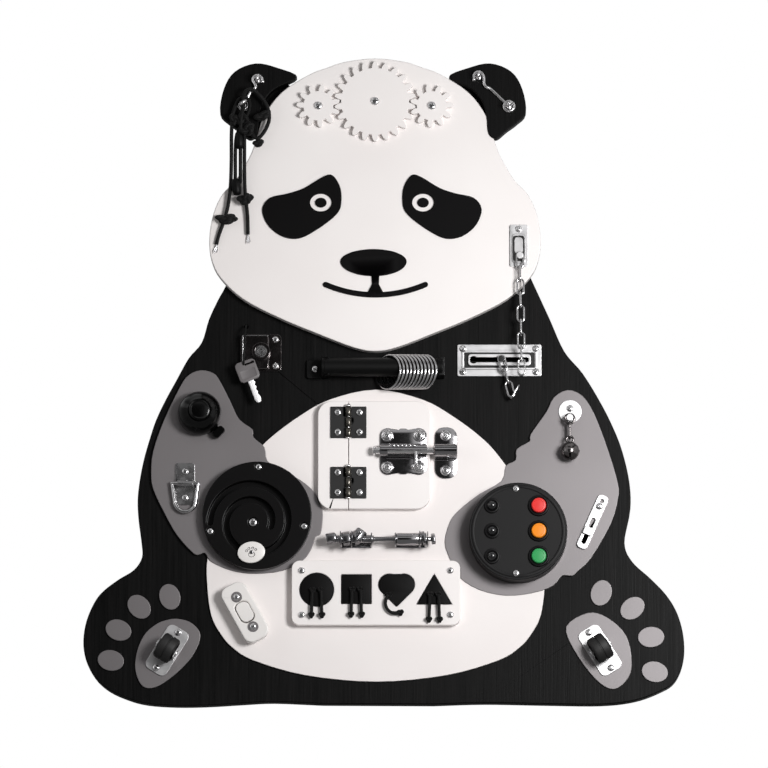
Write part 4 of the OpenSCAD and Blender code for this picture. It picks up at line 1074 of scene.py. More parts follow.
@dataclass
class EarLace:
    """The black lace that is looped round the left hook's eye, knotted into tassels."""

    radius: float = 1.9
    route: tuple[tuple[float, float, float], ...] = (
        (-167.5, -29.2, 54), (-164.5, -29.5, 65), (-159.5, -30.5, 79), (-155.5, -31.5, 95),
        (-153.2, -33, 115), (-152.5, -34.6, 140), (-152.5, -34.8, 165), (-151.5, -34.8, 183),
        (-148.9, -34.8, 193.5), (-145.4, -34.8, 200.6), (-140.5, -34.8, 203),
        (-135.8, -34.8, 201), (-134.2, -34.8, 196), (-135.4, -34.8, 189), (-139, -34.8, 181),
        (-144, -34.8, 172), (-147.6, -34.8, 162), (-148.5, -34.8, 148), (-148.5, -34.6, 125),
        (-148.6, -34.6, 120), (-148.6, -34.6, 118), (-147.8, -34.6, 116.2), (-146, -34.6, 115.4),
        (-144.2, -34.6, 116.2), (-143.4, -34.6, 118), (-143.4, -34.7, 120), (-143.4, -34.8, 125),
        (-143.4, -35.5, 140), (-143.4, -37.3, 155), (-143.2, -39.2, 170), (-142.2, -40.6, 184),
        (-140.8, -41, 191), (-140.5, -41, 197), (-140.3, -41, 203), (-137.5, -40.8, 209),
        (-131.5, -40, 210), (-125, -38.5, 205), (-118.5, -36.5, 197), (-114.8, -35.2, 187),
        (-115.5, -34.5, 177), (-120.5, -34.5, 167), (-126, -34.6, 161.5), (-130.5, -35.6, 163.5),
        (-132.8, -36.8, 168.5), (-133.4, -37.6, 171.8), (-133.5, -37.9, 174),
        (-134.4, -38.1, 176.1), (-136.4, -38.2, 177), (-138.4, -38.2, 176.1),
        (-139.3, -38.1, 174), (-139.4, -38, 171.5), (-139.4, -37.6, 167), (-139.4, -36.5, 150),
        (-139.4, -34.8, 134), (-139, -33, 112), (-137.8, -31.6, 98), (-136.2, -30.5, 82),
        (-135.8, -29.8, 64))
    knots: tuple[tuple[float, ...], ...] = (
        (-157.5, 79.0, 33.6, 12.5, 5.6, -4), (-157.0, 79.6, 36.6, 9.5, 4.4, 12),
        (-138.5, 99.0, 35.4, 9.5, 6.2, 8), (-137.5, 98.5, 38.0, 7.0, 5.0, 60),
        (-121.5, 184.0, 36.8, 10.2, 5.2, 22), (-125.5, 156.0, 37.2, 6.4, 4.4, 12),
        (-136.5, 169.5, 39.8, 9.0, 6.6, 30), (-141.5, 180.5, 38.8, 7.4, 6.6, 70),
        (-150.0, 180.0, 37.6, 7.0, 5.4, 100))
    beads: tuple[tuple[float, float, float, float], ...] = (
        (-147.5, 111.5, 35.6, 8.0), (-144.5, 158.5, 37.5, 4.0))

    def build(self) -> None:
        """Lays the lace, ties its knots, threads its beads and frays its ends."""
        tied = []
        for x, z, h, half_width, half_height, tilt in self.knots:
            tie = knot(half_height - 1.9, 1.9)
            tie.scale = (half_width / half_height, 1, 0.8)
            tied.append(seated(settle(tie), x, z, h, tilt))
        knots = join(tied, "lace_knots")
        fit(knots, Body.BOARD, BraidedCord("knotted_black_braid", "#0a0909", 0.6, 0.2, run_mm=60))
        barrels = []
        for x, z, h, tilt in self.beads:
            bead = turned([(2.0, -8.5), (3.6, -7.8), (4.6, -4.0), (4.8, 0), (4.6, 4.0),
                           (3.6, 7.8), (2.0, 8.5)], 24)
            smooth(bead, 60)
            barrels.append(seated(bead, x, z, h, tilt, (90, 0, 0)))
        beads = join(barrels, "lace_beads")
        fit(beads, Body.BOARD, BAR_BLACK)
        frays = []
        for x, z, lean in ((-167.2, 54.5, 1.0), (-135.4, 64.5, -0.3)):
            for k in range(7):
                swing = (k - 3) * 0.42
                frays.append(wire([
                    (x, -29.6, z + 1.5), (x + swing * 0.6, -29.4 - 0.15 * (k % 2), z - 2.5),
                    (x + swing * 1.6 - lean, -29.2 - 0.3 * (k % 3), z - 7.5 - (k * 5) % 3)],
                    0.32, sides=1))
        tips = join(frays, "lace_frayed_tips")
        fit(tips, Body.BOARD, SILVER_THREAD)
        Cord("ear_lace", "ear_cord", Body.BOARD, self.radius, self.route, "knot").build(
            (knots, beads, tips))


# ---- security chain, ring bar, lock and key ----------------------------------------------


@dataclass
class ChainHardware:
    """The door chain's anchor with its raised housing, and the slide plate's moat; black sheets
    laid as painted shade in the housing's well, down its left edge and in the moat.
    """

    anchor: tuple[float, float] = (135.5, 53.0)
    slide: tuple[float, float] = (116.0, -61.5)

    def build(self) -> None:
        """Rounds the pressed plates and adds the housing's lip, with black painted shade in the
        housing's well, a painted shadow line down its left edge and painted shade on the moat's floor.
        """
        plates = eased_copy("chain_plates", "chain_plates_eased", 0.3)
        fit(plates, Body.BOARD, ZINC, ("chain_plates",))
        lip = sheet_metal([rounded_outline(13.5, 30, 3.5), rounded_outline(9.6, 22, 2.2, 0, -1)],
                          0, 1.6, 0.5)
        seated(lip, self.anchor[0], self.anchor[1] - 3, H_HEAD + 1.4)
        fit(lip, Body.BOARD, ZINC)
        lip.name = "anchor_housing_lip"
        x, z = self.anchor
        # Painted shade: a black ring laid in the housing's well.
        well = sheet_metal([rounded_outline(11.6, 26.0, 2.8),
                            rounded_outline(8.6, 17.5, 4.0, 0, 3)],
                           0, 0.5, 0.1)
        seated(well, x, z - 3.4, H_HEAD + 4.5)
        well.name = "anchor_well_painted_shade"
        fit(well, Body.BOARD, PAINTED_SHADE_BLACK)
        # Painted shadow: a black line down the anchor's left edge only, the side away from the lamp.
        rim = [wire([(side * 8.9, -20.0, 0.6), (side * 8.9, 0.0, 0.6), (side * 8.9, 20.0, 0.6)],
                    0.5, sides=1) for side in (-1,)]
        edge = seated(join(rim, "anchor_edge_painted_shadow"), x, z, H_HEAD)
        fit(edge, Body.BOARD, PAINTED_SHADE_BLACK)
        # Painted shade: a black sheet laid on the moat's floor.
        moat = sheet_metal([rounded_outline(70.5, 17.4, 1.2), rounded_outline(62.6, 11.8, 4)],
                           0, 0.5, 0.1)
        seated(moat, *self.slide, H_BODY + SLIDE_WALL)
        moat.name = "slide_moat_painted_shade"
        fit(moat, Body.BOARD, PAINTED_SHADE_BLACK)


@dataclass
class LockAndKey:
    """The cam lock on its plate, and the car-style key that hangs on its cord."""

    lock: tuple[float, float] = (-122.5, -54.0)
    key: tuple[float, float] = (-136.0, -74.5)
    key_h: float = 27.0
    key_tilt: float = 20.7
    cord: tuple[tuple[float, float, float], ...] = (
        (-137.5, -12, -27), (-137.5, -17, -27), (-137.6, -21, -28), (-138, -25.5, -32),
        (-138.4, -29, -39), (-138.8, -31, -47), (-139.2, -32.2, -55), (-139.6, -32.8, -62),
        (-139.8, -32.4, -66.5), (-139.9, -30.5, -68.6), (-139.9, -28.2, -68.8))

    def case(self) -> None:
        """Makes the pressed case: a plate and a raised box in nickel darkened as painted
        reflection, bright strips on the box's left and top edges as painted highlights, and the plug.
        """
        plate = eased_copy("lock_case", "lock_case_eased", 0.35)
        fit(plate, Body.BOARD, LOCK_NICKEL_PAINTED_DARK, ("lock_case",))
        box = sheet_metal([rounded_outline(27, 35, 3.2, -5.6), ring_outline(9.25, steps=32)],
                          0, 5.5, 1.2)
        seated(box, *self.lock, H_BODY + 2)
        box.name = "lock_raised_box"
        fit(box, Body.BOARD, LOCK_NICKEL_PAINTED_DARK)
        # Painted highlights: bright zinc strips along the box's left and top edges only.
        lips = [block((1.1, 33, 2.2), (x, 0, 6.4), 0.4) for x in (-18.2,)]
        lips += [block((25, 1.0, 1.6), (-5.6, y, 6.2), 0.4) for y in (16.6,)]
        ridge = seated(join(lips, "lock_rim_painted_highlight"), *self.lock, H_BODY + 1)
        fit(ridge, Body.BOARD, BRIGHT_ZINC)
        plug = turned([(5.85, 0.3), (5.85, 11.0), (5.4, 11.5), (3.2, 11.5), (3.0, 11.1),
                       (0.4, 11.1)], 32)
        cut(plug, block((1.6, 8.2, 9), (0, 0, 10), 0))
        smooth(plug, 30)
        seated(plug, *self.lock, H_BODY)
        plug.name = "lock_plug_face"
        fit(plug, "lock_plug", BRIGHT_ZINC, ("lock_plug",))

    def blade(self) -> bpy.types.Object:
        """Cuts the key's blade, with bitting on one edge, a groove and a rounded tip."""
        cuts = (0.0, 0.9, 0.2, 1.5, 0.6, 1.9, 0.9, 1.6, 0.7, 0.2)
        right = [(3.4 - c, -9.0 - 2.3 * k) for k, c in enumerate(cuts)]
        rim = [(-3.4, -9.0)] + [(-3.4 + 0.25 * (k % 2), -12.5 - 2.9 * k) for k in range(7)]
        tip = [(-2.6, -32.6), (-1.2, -34.0), (0.6, -34.0), (2.2, -33.0)]
        blade = sheet_metal([rim + tip + right[::-1]], 1.0, 2.0, 0.35)
        return cut(blade, block((1.0, 21, 1.0), (-0.9, -20, 3.1), 0.2))

    def bow(self) -> bpy.types.Object:
        """Moulds the key's grey bow, with a slot for the cord and a dished face."""
        bow = sheet_metal([rounded_outline(21, 21, 4.2), rounded_outline(12, 4.4, 1.5, 4.5, 6.6)],
                          0, 4.0, 0.9)
        dish = sheet_metal([rounded_outline(15.5, 9.5, 2.2, 0, -3.2)], 3.55, 2.0, 0.3)
        return cut(bow, dish)

    def build(self) -> None:
        """Makes the lock, the key and its cord."""
        self.case()
        bow = seated(self.bow(), *self.key, self.key_h, self.key_tilt)
        bow.name = "key_bow"
        smooth(bow, 40)
        fit(bow, "key", GREY_PLASTIC, ("key",))
        blade = seated(self.blade(), *self.key, self.key_h, self.key_tilt)
        blade.name = "key_blade"
        smooth(blade, 30)
        fit(blade, "key", KEY_NICKEL)
        Cord("key_string", "key_cord", "key", 1.0, self.cord, "knot", 3).build()


@dataclass
class RingBar:
    """The black bar: a moulded handle on two feet, with sleeves where the rings run."""

    axis_h: float = 31.0
    z: float = -71.0
    radius: float = 9.5

    def build(self) -> None:
        """Rounds the bar and adds two collars on it."""
        bar = eased_copy("ring_bar", "ring_bar_eased", 0.8)
        fit(bar, Body.BOARD, BAR_BLACK, ("ring_bar",))
        r = self.radius
        made = []
        for x in (-60.5, 55.0):
            collar = turned([(r + 0.1, -1.6), (r + 0.7, -1.2), (r + 0.7, 1.2), (r + 0.1, 1.6)],
                            40)
            smooth(collar, 50)
            made.append(seated(collar, x, self.z, self.axis_h, 0, (0, 90, 0)))
        fit(join(made, "bar_collars"), Body.BOARD, BAR_BLACK)


# ---- bell, D ring, maze, light box, ball bell, strip and switch --------------------------


@dataclass
class BicycleBell:
    """A black enamelled bell with a stepped dome, a raised cap and a thumb lever."""

    place: tuple[float, float] = (-183.5, -117.0)
    base_h: float = H_ARM
    radius: float = 22.0
    cap_r: float = 10.5

    def build(self) -> None:
        """Turns the dome and its cap, and rounds the lever."""
        r, c = self.radius, self.cap_r
        steps = [(r * math.cos(a), 7 + r * math.sin(a))
                 for a in (math.radians(v) for v in range(0, 58, 6))]
        dome = turned([(r - 0.2, 5.6), (r + 0.1, 6.2)] + steps[1:]
                      + [(c + 1.2, 26.3), (c + 0.9, 26.0), (c + 0.4, 26.0), (c, 26.5),
                         (c, 29.4), (c - 0.5, 30.2), (c - 1.6, 30.5), (c - 2.2, 30.1),
                         (c - 2.6, 29.9), (c - 5.0, 30.2), (0.6, 30.4)], 64)
        smooth(dome, 28)
        seated(dome, *self.place, self.base_h)
        dome.name = "bell_dome_turned"
        fit(dome, Body.BOARD, BLACK_ENAMEL, ("bell_dome",))
        lever = eased_copy("bell_lever", "bell_lever_eased", 0.7, 3)
        fit(lever, "bell_lever", BLACK_ENAMEL, ("bell_lever",))


@dataclass
class MazeSlider:
    """The white disc that runs round the groove, with a generic paw sunk into its face."""

    hub: tuple[float, float] = (-130.0, -228.0)
    turn: float = 273.0
    start: float = 43.0
    pitch: float = 0.045

    def place(self) -> tuple[float, float]:
        """Returns where the slider rests on the spiral."""
        r = self.start - self.pitch * self.turn
        a = math.radians(180 - self.turn)
        return self.hub[0] + r * math.cos(a), self.hub[1] + r * math.sin(a)

    def mark_line(self, a: float, b: float, x: float, y: float) -> bpy.types.Object:
        """Lays a grey line round the rim of one sunk mark, an oval of half widths a and b."""
        rims = [[(x + (a + d) * math.cos(t), y + (b + d) * math.sin(t))
                 for t in (math.radians(15 * k) for k in range(24))] for d in (0.25, -0.3)]
        return sheet_metal(rims, 3.3, 0.3, 0.05)

    def build(self) -> None:
        """Makes the oval disc with its sunk marks, the stem below it and a centre screw."""
        x, z = self.place()
        oval = [(13.75 * math.cos(a), 10.75 * math.sin(a))
                for a in (math.radians(7.5 * k) for k in range(48))]
        disc = sheet_metal([oval], 0.3, 3.2, 0.8)
        marks = [turned([(2.6, 3.15), (2.6, 4.5)], 20)]
        marks[0].scale = (1.25, 1.0, 1.0)
        marks[0].location = (0, -2.4 * MM, 0)
        settle(marks[0])
        for k, a in enumerate((35, 70, 110, 145)):
            toe = turned([(1.15, 3.15), (1.15, 4.5)], 14)
            toe.location = (5.6 * MM * math.cos(math.radians(a)),
                            (5.2 * math.sin(math.radians(a)) - 1.0) * MM, 0)
            marks.append(settle(toe))
        for mark in marks:
            cut(disc, mark)
        lines = [self.mark_line(3.2, 2.5, 0, -2.4)]
        for a in (35, 70, 110, 145):
            lines.append(self.mark_line(1.15, 1.15, 5.6 * math.cos(math.radians(a)),
                                        5.2 * math.sin(math.radians(a)) - 1.0))
        grey_mark_lines = seated(join(lines, "maze_slider_marks"), x, z, H_MAZE, 8)
        fit(grey_mark_lines, "maze_slider", GREY_PLASTIC)
        pin = FixingScrews().model(2.0, 1.0)
        pin.name = "maze_slider_screw"
        fit(seated(pin, x, z, H_MAZE + 3.4, 30), "maze_slider", DARK_NICKEL)
        stem = turned([(2.4, -6.0), (2.5, 0.4)], 20)
        slider = seated(join([disc, stem], "maze_slider_disc"), x, z, H_MAZE, 8)
        smooth(slider, 35)
        fit(slider, "maze_slider", WHITE_PLASTIC, ("maze_slider",))
        hub = FixingScrews().model(4.5, 2.6)
        hub.name = "maze_hub_screw"
        seated(hub, *self.hub, H_MAZE - 2.6, 20)
        fit(hub, "maze_hub", BRIGHT_ZINC, ("maze_hub",))


@dataclass
class LightBox:
    """The round box: a moulded cover with a raised panel, three lit caps and three domes."""

    place: tuple[float, float] = (134.0, -239.0)
    pitch: float = 25.5
    button_x: float = 20.5
    dome_x: float = -26.0
    radius: float = 49.0

    def build(self) -> None:
        """Makes the cover's raised rim, the caps with their collars, and the lenses."""
        cover = eased_copy("button_housing", "button_housing_eased", 1.0, 3)
        fit(cover, Body.BOARD, BOX_PLASTIC, ("button_housing",))
        rim = sheet_metal([ring_outline(self.radius - 2.2, steps=96),
                           ring_outline(self.radius - 5.4, steps=96)], -0.6, 1.5, 0.5)
        seated(rim, *self.place, H_BOX)
        rim.name = "light_box_rim"
        smooth(rim, 40)
        fit(rim, Body.BOARD, BOX_PLASTIC)
        for name, row, finish in (("red", 1, RED_CAP), ("orange", 0, ORANGE_CAP),
                                  ("green", -1, GREEN_CAP)):
            cap = turned([(8.9, 19.6), (8.9, 21.4), (7.4, 21.5), (7.4, 29.2), (7.15, 30.3),
                          (6.5, 30.9), (5.4, 31.0), (5.1, 30.7), (1.0, 30.9)], 40)
            smooth(cap, 28)
            seated(cap, self.place[0] + self.button_x, self.place[1] + row * self.pitch, H_ARM)
            cap.name = f"cap_{name}"
            fit(cap, f"button_{name}", finish, (f"button_{name}",))
        collars, lenses = [], []
        for row in (-1, 0, 1):
            z = self.place[1] + row * self.pitch
            collar = turned([(10.6, 24.8), (10.6, 26.4), (9.9, 27.6), (8.9, 27.9), (8.2, 27.4),
                             (8.0, 25.2)], 40)
            collars.append(seated(smooth(collar, 30), self.place[0] + self.button_x, z, H_ARM))
            seat = turned([(7.6, 24.8), (7.6, 26.4), (7.0, 27.4), (6.0, 27.6), (5.4, 27.2),
                           (5.3, 25.0)], 36)
            collars.append(seated(smooth(seat, 30), self.place[0] + self.dome_x, z, H_ARM))
            lens = turned([(4.95, 20), (4.95, 27.2)]
                          + [(4.95 * math.cos(a), 27.2 + 4.95 * math.sin(a))
                             for a in (math.radians(v) for v in range(10, 90, 10))], 32)
            lenses.append(seated(smooth(lens, 60), self.place[0] + self.dome_x, z, H_ARM))
        fit(join(collars, "button_collars"), Body.BOARD, BOX_PLASTIC)
        fit(join(lenses, "dome_lenses"), Body.BOARD, SMOKED_LENS, ("indicator_domes",))


@dataclass
class RockerSwitch:
    """An in-line lamp switch: a long white body with a deep well, and an oval rocker."""

    place: tuple[float, float] = (-138.0, -318.5)
    tilt: float = 29.0

    def build(self) -> None:
        """Rounds the body and the rocker, and lays a grey ring round each screw as painted shade
        in its well.
        """
        body = eased_copy("switch_body", "switch_body_eased", 1.6, 4)
        fit(body, Body.BOARD, WHITE_PLASTIC, ("switch_body",))
        rocker = eased_copy("switch_rocker", "switch_rocker_eased", 0.8, 3)
        fit(rocker, "switch_rocker", WHITE_PLASTIC, ("switch_rocker",))
        # Painted shade: a grey ring round each screw head where its well falls into shade.
        wells = []
        for j in (-1, 1):
            a = math.radians(self.tilt)
            well = sheet_metal([ring_outline(5.4, steps=32), ring_outline(3.5, steps=32)],
                               0, 0.5, 0.12)
            wells.append(seated(well, self.place[0] - 17 * j * math.sin(a),
                                self.place[1] + 17 * j * math.cos(a), H_BELLY + SWITCH_H))
        fit(join(wells, "switch_screw_wells_painted_shade"), Body.BOARD, GREY_PLASTIC)


# ---- little door: hinges and bolt --------------------------------------------------------


@dataclass
class DoorHinges:
    """Two black butt hinges: flat leaves, a knuckle in three with finials, silver screws."""

    split_x: float = -35.0
    axis_h: float = 30.4
    places: tuple[float, ...] = (-126.5, -187.5)
    leaf_l: float = 32.0
    leaf_w: float = 15.0
    knuckle_r: float = 3.0

    def leaf(self, side: int, z: float) -> bpy.types.Object:
        """Cuts one leaf with its two rolled lugs' straps.

        Args:
            side: minus one for the fixed leaf, one for the door's.
            z: middle of the hinge.

        Returns:
            The leaf, on the board.
        """
        x = side * (2 + 17 / 2)
        plate = sheet_metal([rounded_outline(self.leaf_w, self.leaf_l, 1.0, x)], 0, 1.5, 0.25)
        third = self.leaf_l / 3
        spots = (-third, third) if side < 0 else (0.0,)
        straps = [block((5.6, third - 0.7, 1.5), (side * 2.7, y, 0.75), 0.2) for y in spots]
        rolls = [block((2.4, third - 0.7, 3.0), (side * 1.9, y, 1.6), 0.4) for y in spots]
        return seated(join([plate] + straps + rolls, "leaf"), self.split_x, z, H_DOOR)

    def knuckle(self, z: float, length: float) -> bpy.types.Object:
        """Rolls one lug of a knuckle about the pin, with eased ends."""
        r, half = self.knuckle_r, length / 2
        lug = turned([(r - 0.35, -half), (r, -half + 0.35), (r, half - 0.35), (r - 0.35, half)],
                     28)
        smooth(lug, 50)
        return seated(lug, self.split_x, z, self.axis_h, 0, (90, 0, 0))

    def build(self) -> None:
        """Makes both hinges' leaves, knuckles, pins and screws."""
        third = self.leaf_l / 3
        fixed, moving, pins, fixed_lugs, lugs = [], [], [], [], []
        for z in self.places:
            fixed.append(self.leaf(-1, z))
            fixed_lugs += [self.knuckle(z + s * third, third - 0.6) for s in (-1, 1)]
            moving.append(self.leaf(1, z))
            lugs.append(self.knuckle(z, third - 0.6))
            half = self.leaf_l / 2
            pin = turned([(1.5, -half - 0.2), (2.2, -half), (2.2, -half + 0.4), (1.45, -half + 0.6),
                          (1.45, half - 0.2), (2.4, half), (2.6, half + 0.9), (1.9, half + 1.9),
                          (0.8, half + 2.4)], 24)
            smooth(pin, 50)
            pins.append(seated(pin, self.split_x, z, self.axis_h, 0, (-90, 0, 0)))
        leaves = join(fixed, "hinge_fixed_leaves")
        fit(leaves, Body.BOARD, HINGE_BLACK, ("hinge_jamb_leaves",))
        fit(join(pins, "hinge_pins"), Body.BOARD, BRIGHT_ZINC)
        fit(join(fixed_lugs, "hinge_fixed_knuckles"), Body.BOARD, KNUCKLE)
        fit(join(lugs, "hinge_door_knuckles"), Body.DOOR, KNUCKLE)
        leaves = join(moving, "hinge_moving_leaves")
        fit(leaves, Body.DOOR, HINGE_BLACK, ("hinge_door_leaves",))
        screws = FixingScrews()
        rows = [z + 10 * s for z in self.places for s in (-1, 1)]
        for name, x, body in (("fixed", -10.5, Body.BOARD), ("moving", 11.0, Body.DOOR)):
            spots = [(self.split_x + x, z, H_DOOR + 1.5) for z in rows]
            fit(screws.copies(spots, f"hinge_{name}_screws", 3.5, 2.0), body, BRIGHT_ZINC)


@dataclass
class BarrelBolt:
    """A nickelled barrel bolt: scalloped plate, open sleeve, bolt with its lever, keeper."""

    x: float = 19.75
    z: float = -156.0
    axis_h: float = 33.5
    plate_w: float = 47.0
    keeper_x: float = 62.25
    rod: tuple[float, float] = (-11.0, 50.3)
    lever_x: float = 32.5

    def plate_outline(self) -> list[tuple[float, float]]:
        """Returns the plate's outline: a lobe at each corner and a shallow bulge between."""
        half, r = self.plate_w / 2, 8.0
        run = []
        for k, (i, j) in enumerate(((1, 1), (-1, 1), (-1, -1), (1, -1))):
            middle = (i * (half - r), j * (half - r + 0.3))
            run += ring_outline(r, *middle, steps=9, start=90 * k - (0 if k % 2 == 0 else 22),
                                sweep=112)
            if k % 2 == 0:
                run += [(i * 4.6, j * (half - 1.5)), (i * 2.6, j * (half - 0.3)),
                        (-i * 2.6, j * (half - 0.3)), (-i * 4.6, j * (half - 1.5))]
        return run

    def tube(self, length: float, outer: float, inner: float) -> bpy.types.Object:
        """Rolls a sleeve along X with eased ends.

        Args:
            length: its length.
            outer: its outer radius.
            inner: its bore's radius.

        Returns:
            The sleeve, about the origin.
        """
        half = length / 2
        sleeve = turned([(outer - 0.5, -half), (outer, -half + 0.5), (outer, half - 0.5),
                         (outer - 0.5, half)], 36)
        bore = turned([(inner, -half - 2), (inner, half + 2)], 28)
        return smooth(cut(sleeve, bore), 35)

    def plate(self) -> None:
        """Makes the plate and its sleeve, which is cut open where the lever runs."""
        flat = sheet_metal([self.plate_outline()], 0, 1.5, 0.4)
        seated(flat, self.x, self.z, H_DOOR)
        smooth(flat, 30)
        flat.name = "bolt_plate_scalloped"
        fit(flat, Body.DOOR, MIRROR_STEEL, ("bolt_plate",))
        sleeve = self.tube(self.plate_w, 6.0, 3.7)
        seated(sleeve, self.x, self.z, self.axis_h, 0, (0, 90, 0))
        window = block((41, 9, 14), (0, 0, 0), 0)
        cut(sleeve, seated(window, 24.5, self.z - 4.4, self.axis_h + 5.6))
        foot = [block((self.plate_w, 1.1, 5.4), (0, y, 2.9), 0.3) for y in (-5.4, 5.4)]
        feet = seated(join(foot, "sleeve_feet"), self.x, self.z, H_DOOR + 1)
        beads = []
        for y, half, lift in ((7.1, self.plate_w / 2 - 0.6, 1.7), (-7.1, 17.0, 1.7)):
            beads.append(wire([(-half, y, lift), (0, y, lift), (half, y, lift)], 0.75,
                              sides=2))
        seams = seated(join(beads, "beads"), self.x, self.z, H_DOOR)
        lumps = []
        for k in range(6):
            lump = turned([(1.7, -1.6), (2.0, -0.9), (2.0, 0.9), (1.7, 1.6)], 14)
            lumps.append(seated(smooth(lump, 60), 9.5 + 4.1 * k, self.z + 4.3,
                                self.axis_h + 3.9, 0, (0, 90, 0)))
        fit(join([sleeve, feet, seams] + lumps, "bolt_sleeve"), Body.DOOR, MIRROR_STEEL)

    def screws(self) -> None:
        """Makes the four domed screws on their pressed rings."""
        heads = FixingScrews(slot_w=1.0)
        spots = [(self.x + 16 * i, self.z + 16 * j, H_DOOR + 2.2)
                 for i in (-1, 1) for j in (-1, 1)]
        made = [heads.copies(spots, "bolt_screw_heads", 4.2, 2.4)]
        for x, z, h in spots:
            cup = turned([(6.3, -0.8), (6.3, -0.4), (5.5, 0.7), (4.6, 0.9), (4.2, 0.3)], 32)
            made.append(seated(smooth(cup, 50), x, z, h))
        fit(join(made, "bolt_screws"), Body.DOOR, BRIGHT_ZINC)
        cups = []
        for j in (-1, 1):
            cup = turned([(5.6, -0.5), (5.6, -0.1), (4.9, 0.8), (4.0, 0.9), (3.6, 0.3)], 32)
            cups.append(seated(smooth(cup, 50), self.keeper_x, self.z + 17.5 * j,
                               H_BELLY + 1.7))
        fit(join(cups, "keeper_screw_rings"), Body.BOARD, BRIGHT_ZINC)

    def bolt(self) -> None:
        """Turns the bolt and bends its lever."""
        low, high = self.rod
        half, middle = (high - low) / 2, (high + low) / 2
        rod = turned([(3.0, -half), (4.4, -half + 0.6), (4.4, -half + 2.6), (3.5, -half + 3.2),
                      (3.5, half - 0.8), (2.8, half)], 32)
        smooth(rod, 40)
        seated(rod, middle, self.z, self.axis_h, 0, (0, 90, 0))
        arm = wire([(0, -1.5, 2.6), (0, -6, 2.9), (0, -12, 2.6), (-0.6, -15, 2.0),
                    (-3.2, -16.2, 1.6)], 1.75)
        seated(arm, self.lever_x, self.z, self.axis_h)
        tip = turned([(1.6, -1.8), (2.4, -1.0), (2.6, 0), (2.4, 1.0), (1.6, 1.8)], 20)
        seated(smooth(tip, 60), self.lever_x - 3.0, self.z - 16.0, self.axis_h + 1.6, 0,
               (0, 90, 0))
        fit(join([rod, arm, tip], "bolt_with_lever"), "bolt_rod", BRIGHT_ZINC, ("bolt_rod",))

    def keeper(self) -> None:
        """Presses the keeper: round-ended feet and a bridge with two raised lines."""
        rim = rounded_outline(22.5, 52, 9.5, steps=8)
        flat = seated(sheet_metal([rim], 0, 1.5, 0.4), self.keeper_x, self.z, H_BELLY)
        smooth(flat, 30)
        bridge = self.tube(22.5, 6.5, 5.0)
        seated(bridge, self.keeper_x, self.z, self.axis_h, 0, (0, 90, 0))
        sides = [block((22.5, 1.5, 14.5), (0, y, 7.8), 0.5) for y in (-5.7, 5.7)]
        legs = seated(join(sides, "legs"), self.keeper_x, self.z, H_BELLY)
        lines = [wire([(-10.9, y, lift), (10.9, y, lift)], 0.6, sides=2)
                 for y, lift in ((7.4, 1.9), (-7.4, 1.9), (3.9, 20.8), (-3.9, 20.8))]
        seams = seated(join(lines, "lines"), self.keeper_x, self.z, H_BELLY)
        fit(join([flat, bridge, legs, seams], "bolt_keeper_pressed"), Body.BOARD, MIRROR_STEEL,
            ("bolt_keeper",))

    def build(self) -> None:
        """Makes the whole bolt."""
        self.plate()
        self.screws()
        self.bolt()
        self.keeper()


# ---- nut and bolt set --------------------------------------------------------------------


